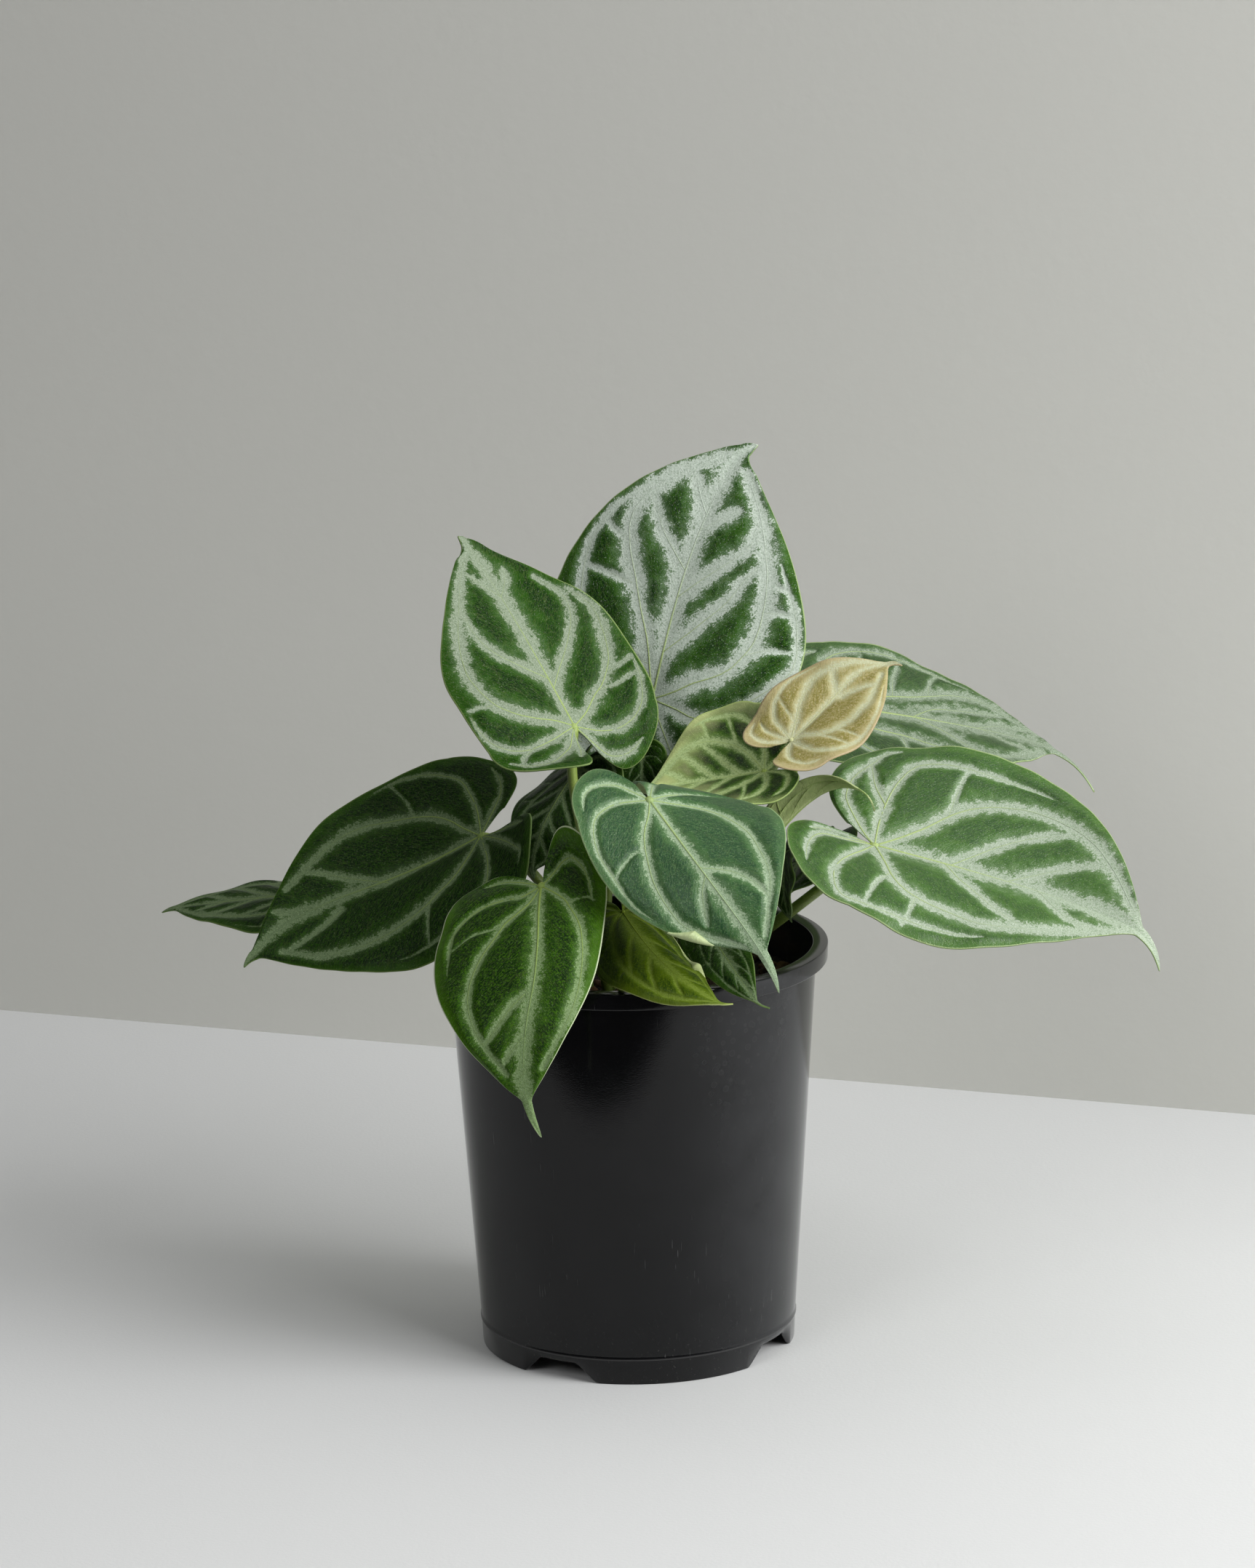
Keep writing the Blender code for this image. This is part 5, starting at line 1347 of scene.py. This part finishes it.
LEAF_PATTERN = leaf_group()
LOOKS = {
    "silver": leaf_material(
        "leaf_silver_velvet", LEAF_PATTERN, specular=0.10, Band=rgb(196, 208, 194),
        Patch=rgb(46, 90, 14), Patch_Deep=rgb(18, 48, 10), Border=rgb(58, 98, 28), Dusting=0.32),
    "upper": leaf_material(
        "leaf_upper_velvet", LEAF_PATTERN, specular=0.06, sheen=0.0, Band=rgb(132, 144, 122),
        Patch=rgb(36, 74, 8), Patch_Deep=rgb(14, 40, 6), Border=rgb(42, 78, 16),
        Margin=rgb(130, 150, 92), Sparkle=rgb(182, 194, 178), Dusting=0.30),
    "wide": leaf_material(
        "leaf_wide_velvet", LEAF_PATTERN, specular=0.5, Band=rgb(158, 172, 150), Patch=rgb(58, 100, 24),
        Patch_Deep=rgb(38, 74, 22), Border=rgb(66, 106, 32), Sparkle=rgb(204, 214, 200)),
    "mottled": leaf_material(
        "leaf_mottled_velvet", LEAF_PATTERN, specular=0.4, Band=rgb(128, 142, 120),
        Patch=rgb(46, 80, 26), Patch_Deep=rgb(30, 58, 20), Border=rgb(54, 88, 32),
        Sparkle=rgb(190, 202, 188), Fuzz=1.5, Soft=0.25, Dusting=0.55),
    "dark": leaf_material(
        "leaf_dark_velvet", LEAF_PATTERN, specular=0.06, Band=rgb(94, 112, 80), Patch=rgb(26, 50, 10),
        Patch_Deep=rgb(13, 31, 10), Vein=rgb(120, 140, 74), Border=rgb(40, 72, 12),
        Margin=rgb(92, 114, 58), Sparkle=rgb(132, 150, 110), Soft=0.28, Dusting=0.2),
    "green": leaf_material(
        "leaf_green_velvet", LEAF_PATTERN, specular=0.08, Band=rgb(118, 142, 94), Patch=rgb(36, 70, 6),
        Patch_Deep=rgb(14, 38, 6), Vein=rgb(130, 152, 74), Border=rgb(62, 102, 12),
        Margin=rgb(210, 220, 184), Sparkle=rgb(156, 176, 138), Soft=0.26, Dusting=0.22,
        Border_Width=0.008),
    "blue": leaf_material(
        "leaf_bluish_velvet", LEAF_PATTERN, specular=0.3, sheen=0.06, Band=rgb(148, 170, 136),
        Patch=rgb(54, 94, 44), Patch_Deep=rgb(34, 70, 38), Vein=rgb(150, 172, 104),
        Border=rgb(70, 106, 60), Margin=rgb(140, 166, 114), Under=rgb(184, 198, 146),
        Sparkle=rgb(186, 202, 178), Soft=0.26, Dusting=0.25),
    "lime": leaf_material(
        "leaf_lime_satin", LEAF_PATTERN, specular=0.2, Band=rgb(172, 192, 134), Patch=rgb(66, 106, 6),
        Patch_Deep=rgb(10, 32, 2), Vein=rgb(150, 172, 84), Border=rgb(44, 80, 14),
        Margin=rgb(160, 180, 106), Tip=rgb(206, 216, 148), Tip_From=0.018, Tip_To=0.046,
        Sparkle=rgb(176, 192, 136), Soft=0.7),
    "olive": leaf_material(
        "leaf_olive_satin", LEAF_PATTERN, specular=0.16, Band=rgb(104, 124, 40), Patch=rgb(72, 94, 6),
        Patch_Deep=rgb(40, 62, 2), Vein=rgb(116, 134, 40), Border=rgb(84, 104, 8),
        Margin=rgb(156, 168, 92), Under=rgb(186, 198, 142), Sparkle=rgb(130, 148, 74), Soft=0.42,
        Dusting=0.15),
    "tan": leaf_material(
        "leaf_tan_satin", LEAF_PATTERN, specular=0.25, Band=rgb(184, 188, 154),
        Patch=rgb(158, 152, 100), Patch_Deep=rgb(130, 122, 58), Vein=rgb(184, 188, 138),
        Border=rgb(176, 164, 120), Margin=rgb(178, 158, 126), Under=rgb(178, 166, 118),
        Sparkle=rgb(206, 204, 172), Soft=0.8, Dusting=0.5, Border_Width=0.006),
    "pale": leaf_material(
        "leaf_pale_satin", LEAF_PATTERN, Band=rgb(110, 138, 76), Patch=rgb(52, 88, 22),
        Patch_Deep=rgb(38, 72, 18), Margin=rgb(196, 206, 152), Under=rgb(168, 182, 124)),
}
STALK_SKIN = stalk_material()


def make_leaf(name, leaf):
    """One leaf: a fine blade with its ribs, knob and rolled margin, and its stalk."""
    lines = vein_lines(name, leaf)
    parts = [blade_solid(name, leaf, lines), *vein_ribs(name, leaf, lines), knob(leaf)]
    if name in ROLLS:
        parts.append(rolled_margin(leaf, **ROLLS[name]))
    points, faces, fields = join(parts)
    blade = new_object(name + "_blade", to_plant(leaf, points), faces, LOOKS[leaf.look], fields)
    points, faces, fields = stalk_arrays(leaf)
    stalk = new_object(name + "_stalk", points, faces, STALK_SKIN, fields)
    for piece in (blade, stalk):
        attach(piece, "root")
        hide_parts(name)


for leaf_name, leaf_values in LEAVES.items():
    make_leaf(leaf_name, leaf_values)


# Pot

def notch_height(angle):
    """Height of the foot's lower edge at an angle: 0, and up a slope to NOTCH_HEIGHT at a notch."""
    quarter = math.tau / 4
    off = np.abs((angle - NOTCH_TURN + quarter / 2) % quarter - quarter / 2) * FOOT_RADIUS
    slope = (NOTCH_WIDTH_BOTTOM - NOTCH_WIDTH_TOP) / 2
    return NOTCH_HEIGHT * np.clip((NOTCH_WIDTH_BOTTOM / 2 - off) / slope, 0, 1)


def arc(x, z, radius, start, end, steps=5):
    """Points on a round corner about (x, z), from the start angle to the end angle in degrees."""
    angle = np.radians(np.linspace(start, end, steps))
    return np.stack([x + radius * np.cos(angle), z + radius * np.sin(angle)], 1)


def wall_radius(height):
    """Outer radius of the pot's wall: a straight line from the seam to under the rim."""
    share = (height - SEAM_HEIGHT) / (POT_HEIGHT - RIM_DEPTH - SEAM_HEIGHT)
    return SEAM_RADIUS + share * (WALL_TOP_RADIUS - SEAM_RADIUS)


def pot_arrays():
    """Turned wall, rim and base plate as one closed profile; the foot's edge follows the notches.

    The profile runs up the outside from the base plate and down the inside, as (radius, height).
    """
    rim_low = POT_HEIGHT - RIM_DEPTH
    rim_under = POT_HEIGHT - WALL
    rim_inside = RIM_RADIUS - WALL
    mouth = wall_radius(POT_HEIGHT) - WALL
    foot_inside = FOOT_RADIUS - WALL
    plate_low = SEAM_HEIGHT - WALL
    plate = [(foot_inside - FOOT_BEVEL, plate_low)]
    foot = [(foot_inside, 0.0002), (foot_inside + FOOT_BEVEL, 0.0), (FOOT_RADIUS - FOOT_BEVEL, 0.0),
            (FOOT_RADIUS, FOOT_BEVEL)]
    seam = [(SEAM_RADIUS + out, SEAM_HEIGHT + up) for out, up in SEAM_PROFILE]
    wall = [(wall_radius(z), z)
            for z in np.linspace(SEAM_HEIGHT + 0.002, rim_under - RIM_INNER_ROUND, 24)]
    inner_round = RIM_INNER_ROUND
    lip = [(wall_radius(POT_HEIGHT) + 0.0006, rim_under), (rim_inside - inner_round, rim_under),
           (rim_inside, rim_under - inner_round), (rim_inside, rim_low + 0.0003),
           *arc(rim_inside + inner_round, rim_low + inner_round, inner_round, 180, 270),
           *arc(RIM_RADIUS - RIM_DRAFT - RIM_ROUND, rim_low + RIM_ROUND, RIM_ROUND, 270, 360),
           *arc(RIM_RADIUS - RIM_ROUND, POT_HEIGHT - RIM_ROUND, RIM_ROUND, 0, 90),
           *arc(mouth + RIM_ROUND, POT_HEIGHT - RIM_ROUND, RIM_ROUND, 90, 180)]
    inner = [(wall_radius(z) - WALL, z)
             for z in np.linspace(POT_HEIGHT - 0.004, SEAM_HEIGHT + 0.002, 12)]
    inner += [(SEAM_RADIUS - WALL - 0.001, SEAM_HEIGHT)]
    profile = np.array([tuple(point) for point in plate + foot + seam + wall + lip + inner])
    angle = np.arange(POT_SIDES) * math.tau / POT_SIDES
    order = np.arange(len(profile))
    in_foot = (order >= len(plate)) & (order < len(plate) + len(foot))
    height = profile[:, 1:] + in_foot[:, None] * notch_height(angle)
    radius = profile[:, :1]
    rings = np.stack([radius * np.cos(angle), radius * np.sin(angle), height], -1)
    points, triangles = closed_rings(rings, (0, 0, plate_low), (0, 0, SEAM_HEIGHT))
    return points + AXIS, triangles


def pot_material():
    """Black moulded plastic: satin, a little uneven, with a painted highlight along the seam.

    Scratches lie in patches, dust near the bottom, dried drops high up on the right, and a painted
    sheen lightens the right side, standing in for its reflections.
    """
    material, n, shader = new_material("black_pot_plastic")
    place = n.place()
    heights = n.add("ShaderNodeSeparateXYZ")
    n.link(place, heights.inputs[0])
    right, high = heights.outputs["X"], heights.outputs["Z"]
    uneven = n.noise(place, 45.0, detail=4.0)
    grain = n.noise(place, 2600.0, detail=2.0)

    along = n.add("ShaderNodeMapping")
    n.feed(along, Vector=place, Scale=(1.0, 1.0, 0.06), Rotation=(0.25, 0.1, 0.0))
    scratches = n.ramp(n.noise(along.outputs[0], 1400.0, detail=1.0), 0.715, 0.75)
    scratches = n.times(scratches, n.ramp(n.noise(place, 30.0, detail=2.0), 0.5, 0.68))

    drops = n.add("ShaderNodeTexVoronoi", feature="F1")
    n.feed(drops, Vector=place, Scale=300.0, Randomness=1.0)
    outside = n.ramp(drops.outputs["Distance"], 0.40, 0.34)
    inside = n.ramp(drops.outputs["Distance"], 0.26, 0.33)
    spots = n.times(outside, n.plus(n.times(inside, 0.75), 0.25))
    spots = n.times(spots, n.ramp(n.noise(place, 26.0, detail=2.0), 0.38, 0.50))
    spots = n.times(spots, n.ramp(high, 0.080, 0.120))
    spots = n.times(spots, n.ramp(right, 0.0, 0.03))

    dust = n.ramp(n.noise(place, 1100.0, roughness=0.7), 0.64, 0.74, to_high=0.35)
    dust = n.times(dust, n.ramp(high, 0.035, 0.0))
    # Painted sheen: the right side is lightened, standing in for the reflections there
    painted_sheen = n.times(n.ramp(right, 0.005, 0.060), n.ramp(uneven, 0.2, 0.7, to_low=0.6))
    off_seam = n.math("ABSOLUTE", n.math("SUBTRACT", high, SEAM_HEIGHT))

    colour = n.mix(n.ramp(uneven, 0.3, 0.7), PLASTIC_DEEP, PLASTIC_LIT)
    # The painted sheen over the right side
    colour = n.mix(painted_sheen, colour, PLASTIC_PAINTED_SHEEN)
    colour = n.mix(n.times(scratches, 0.5), colour, PLASTIC_SCRATCH_AND_SEAM_HIGHLIGHT)
    colour = n.mix(n.times(spots, 0.07), colour, DRIED_DROP)
    # Painted highlight: a pale line along the seam's crest
    colour = n.mix(n.ramp(off_seam, 0.0005, 0.0001, to_high=0.25), colour, PLASTIC_SCRATCH_AND_SEAM_HIGHLIGHT)
    colour = n.mix(dust, colour, DUST)
    gloss = n.ramp(n.plus(uneven, n.times(spots, 0.35)), 0.25, 0.95, to_low=0.05, to_high=0.15)
    relief = n.plus(n.times(grain, 0.6), n.times(uneven, 1.5))
    n.feed(shader, Base_Color=colour, Roughness=gloss, Normal=n.bump(relief, 0.08, 0.0003),
           Specular_IOR_Level=0.30)
    return material


pot = new_object("pot_fine", *pot_arrays(), pot_material())
pot.data.set_sharp_from_angle(angle=SHARP_EDGE)
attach(pot, "root")
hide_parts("pot")


# Potting mix, bark and stem

def mix_arrays():
    """Closed body of mix: a finely waved top, a side just inside the pot's wall and a flat bottom."""
    radius = MIX_RADIUS * np.linspace(1, 0.004, MIX_RINGS)[:, None]
    angle = (np.arange(MIX_SIDES) * math.tau / MIX_SIDES)[None, :]
    x, y = radius * np.cos(angle), radius * np.sin(angle)
    grain = MIX_GRAIN * np.sin(1700 * x) * np.sin(1900 * y + 900 * x)
    top = np.stack([x, y, MIX_TOP + waves(x, y, MIX_WAVES) + grain], -1)
    skirt = top[:1] * [SKIRT_SHARE, SKIRT_SHARE, 1] - [0, 0, SKIRT_DEPTH]
    points, triangles = closed_rings(np.concatenate([skirt, top]), (0, 0, skirt[..., 2].mean()),
                                     (0, 0, MIX_TOP + 0.0003))
    return points + AXIS, triangles


def chip_arrays():
    """Bark chips: flattened, knobbly blocks of 6 by 8 points, tilted a little and half sunk.

    Each is an ellipsoid with its radii drawn by chance, squared off by raising its places to a
    power, with its points pushed about by a fifth. None stands at a stalk or the stem.
    """
    draw = np.random.default_rng(CHIP_SEED)
    spread = np.sqrt(draw.uniform(0, 1, CHIPS))
    angle = draw.uniform(0, math.tau, CHIPS)
    size = np.minimum(draw.lognormal(math.log(CHIP_SIZE), CHIP_SPREAD, CHIPS), CHIP_LARGEST)
    spread = spread * (MIX_RADIUS - CHIP_OFF_WALL - size * 1.25)
    x, y = spread * np.cos(angle), spread * np.sin(angle)
    feet = np.array([leaf.foot for leaf in LEAVES.values()])
    clear = np.hypot(x[:, None] - feet[:, 0], y[:, None] - feet[:, 1]).min(1) > CLEAR_OF_STALK
    clear &= np.hypot(x - STEM_X, y - STEM_Y) > CLEAR_OF_STEM
    x, y, size = x[clear], y[clear], size[clear]
    count = len(x)
    radii = np.stack([size, size * draw.uniform(*CHIP_WIDTHS, count),
                      size * draw.uniform(*CHIP_HEIGHTS, count)], 1)
    polar = np.linspace(CHIP_POLE, math.pi - CHIP_POLE, CHIP_RINGS)[:, None]
    turn = (np.arange(CHIP_SIDES) * math.tau / CHIP_SIDES)[None, :]
    ball = np.stack([np.sin(polar) * np.cos(turn), np.sin(polar) * np.sin(turn),
                     np.cos(polar) + 0 * turn], -1).reshape(-1, 3)
    ball = np.sign(ball) * np.abs(ball) ** CHIP_SQUARE
    knobbly = 1 + CHIP_KNOBS * draw.uniform(-1, 1, (count, len(ball), 1))
    shapes = ball[None] * knobbly * radii[:, None]
    heading = draw.uniform(0, math.tau, count)
    tilt = draw.normal(0, CHIP_TILT, count)
    ch, sh, ct, st = np.cos(heading), np.sin(heading), np.cos(tilt), np.sin(tilt)
    zero, one = np.zeros(count), np.ones(count)
    lean = np.stack([np.stack([ct, zero, st], 1), np.stack([zero, one, zero], 1),
                     np.stack([-st, zero, ct], 1)], 1)
    spin = np.stack([np.stack([ch, -sh, zero], 1), np.stack([sh, ch, zero], 1),
                     np.stack([zero, zero, one], 1)], 1)
    shapes = np.einsum("nij,nkj->nki", spin @ lean, shapes)
    centre = np.stack([x, y, MIX_TOP + waves(x, y, MIX_WAVES) + radii[:, 2] * 0.5], 1)
    points = shapes + centre[:, None]
    side = grid_triangles(CHIP_RINGS, CHIP_SIDES, wrap=True)[:, ::-1]
    caps = np.array([(0, k, k + 1) for k in range(1, CHIP_SIDES - 1)])
    faces = np.concatenate([side, caps, caps[:, ::-1] + (CHIP_RINGS - 1) * CHIP_SIDES])
    triangles = faces[None] + (np.arange(count) * len(ball))[:, None, None]
    shade = np.repeat(draw.uniform(0, 1, count), len(ball))
    return points.reshape(-1, 3) + AXIS, triangles.reshape(-1, 3), {"shade": shade}


def stem_arrays():
    """The short stem: a turned body ringed by leaf scars, rounded off at the top."""
    height = np.linspace(MIX_TOP - STEM_SUNK, STEM_TOP, STEM_STEPS)
    share = (height - height[0]) / (height[-1] - height[0])
    taper = STEM_TAPER * smooth_step((share - STEM_TAPER_FROM) / (1 - STEM_TAPER_FROM))
    radius = STEM_RADIUS * (0.98 - taper)
    radius = radius * (1 + STEM_SCAR_DEPTH * np.sin(share * math.tau * STEM_SCARS))
    path = np.stack([STEM_X + 0 * height, STEM_Y + 0 * height, height], 1) + AXIS
    return tube(path, radius, STEM_SIDES)


def bark_material(name, dark, light, dry):
    """Bark and peat: dark and light brown by chip and grain, with dry pale flecks."""
    material, n, shader = new_material(name)
    place = n.place()
    grain = n.noise(place, 900.0, detail=4.0, roughness=0.65)
    tone = n.plus(n.times(n.attribute("shade"), 0.7), n.times(grain, 0.6))
    colour = n.mix(n.ramp(tone, 0.35, 1.05), dark, light)
    flecks = n.ramp(n.noise(place, 2300.0, detail=2.0), 0.62, 0.74, to_high=0.6)
    n.feed(shader, Base_Color=n.mix(flecks, colour, dry), Roughness=0.88,
           Normal=n.bump(grain, 0.8, 0.0008))
    return material


mix_points, mix_faces = mix_arrays()
mix = new_object("potting_mix_fine", mix_points, mix_faces,
                 bark_material("potting_mix", rgb(28, 20, 14), rgb(62, 44, 30), rgb(96, 74, 54)),
                 {"shade": np.zeros(len(mix_points))})
chip_points, chip_faces, chip_fields = chip_arrays()
chips = new_object("bark_chips", chip_points, chip_faces,
                   bark_material("bark_chips", rgb(38, 26, 18), rgb(112, 78, 50), rgb(150, 120, 90)),
                   chip_fields)
for piece in (mix, chips):
    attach(piece, "root")
    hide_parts("potting_mix")

stem_points, stem_faces = stem_arrays()
stem = new_object("stem_fine", stem_points, stem_faces,
                  bark_material("stem_skin", rgb(88, 80, 44), rgb(128, 122, 70), rgb(150, 140, 100)),
                  {"shade": np.full(len(stem_points), 0.4)})
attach(stem, "root")
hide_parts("stem")


# Studio and camera

TABLE_COLOUR = rgb(210, 211, 211)
BACKDROP_COLOUR = rgb(202, 202, 196)


def stage_material(name, colour, grain, one_sided=False):
    """Matt paint with a faint grain.

    A one-sided piece is clear from behind, so it never hides the plant.
    """
    material, n, shader = new_material(name)
    n.feed(shader, Base_Color=colour, Roughness=0.75,
           Normal=n.bump(n.noise(n.place(), grain), 0.08, 0.001))
    if one_sided:
        choice = n.add("ShaderNodeMixShader")
        n.link(n.add("ShaderNodeNewGeometry").outputs["Backfacing"], choice.inputs[0])
        n.link(shader.outputs[0], choice.inputs[1])
        n.link(n.add("ShaderNodeBsdfTransparent").outputs[0], choice.inputs[2])
        n.link(choice.outputs[0], material.node_tree.nodes["Material Output"].inputs["Surface"])
    return material


def quad(name, corners, material):
    """A flat stage piece from its four corners."""
    new_object(name, corners, [(0, 1, 2), (0, 2, 3)], material)


def make_stage():
    """A pale table top that ends TABLE_FRONT before the pot, and a plain grey backdrop askew behind."""
    left = AXIS[:2] + np.array(BACKDROP_LEFT)
    right = AXIS[:2] + np.array(BACKDROP_RIGHT)
    along = (right - left) / np.linalg.norm(right - left)
    forward = np.array([along[1], -along[0]])
    front = forward * (TABLE_FRONT - (left - AXIS[:2]) @ forward)
    table_left = left - along * STAGE_REACH
    far_right = right + along * STAGE_REACH
    past_left = left - along * BACKDROP_PAST_LEFT
    table = [(*(table_left + front), 0), (*(far_right + front), 0), (*far_right, 0), (*table_left, 0)]
    backdrop = [(*past_left, 0), (*far_right, 0), (*far_right, STAGE_REACH),
                (*past_left, STAGE_REACH)]
    quad("floor", table, stage_material("pale_table", TABLE_COLOUR, 700.0))
    quad("backdrop", backdrop, stage_material("grey_backdrop", BACKDROP_COLOUR, 240.0, one_sided=True))


def area_light(name, place, target, size, power):
    """A square soft light at a place, turned to its target."""
    light = bpy.data.lights.new(name, "AREA")
    light.shape = "SQUARE"
    light.size = size
    light.energy = power
    thing = bpy.data.objects.new(name, light)
    thing.location = place
    aim = np.array(target) - np.array(place)
    thing.rotation_euler = (math.atan2(math.hypot(aim[0], aim[1]), -aim[2]), 0,
                            math.atan2(aim[1], aim[0]) - math.pi / 2)
    bpy.context.scene.collection.objects.link(thing)


def make_light():
    """A dim sky, a big soft window at the right, a small light by it, one at the front, one overhead."""
    world = bpy.data.worlds.new("studio")
    world.use_nodes = True
    background = world.node_tree.nodes["Background"]
    background.inputs["Color"].default_value = SKY_COLOUR
    background.inputs["Strength"].default_value = SKY_STRENGTH
    bpy.context.scene.world = world
    for name, values in LIGHTS.items():
        area_light(name, **values)


def make_camera():
    """The photograph's view: a long lens from the front, looking down a little, with a slight roll."""
    camera = bpy.data.cameras.new("camera")
    camera.lens = LENS
    camera.sensor_width = SENSOR
    camera.sensor_fit = "AUTO"
    camera.clip_end = 30
    thing = bpy.data.objects.new("camera", camera)
    forward = np.array([math.sin(CAMERA_YAW) * math.cos(CAMERA_PITCH),
                        math.cos(CAMERA_YAW) * math.cos(CAMERA_PITCH), -math.sin(CAMERA_PITCH)])
    level = np.array([math.cos(CAMERA_YAW), -math.sin(CAMERA_YAW), 0])
    upright = np.cross(level, forward)
    right = math.cos(CAMERA_ROLL) * level + math.sin(CAMERA_ROLL) * upright
    up = math.cos(CAMERA_ROLL) * upright - math.sin(CAMERA_ROLL) * level
    matrix = np.eye(4)
    matrix[:3, 0] = right
    matrix[:3, 1] = up
    matrix[:3, 2] = -forward
    matrix[:3, 3] = AXIS + np.array([0, -CAMERA_BACK, CAMERA_UP])
    thing.matrix_world = [list(map(float, row)) for row in matrix.T]
    bpy.context.scene.collection.objects.link(thing)
    bpy.context.scene.camera = thing


make_stage()
make_light()
make_camera()
bpy.context.scene.view_settings.view_transform = "Standard"
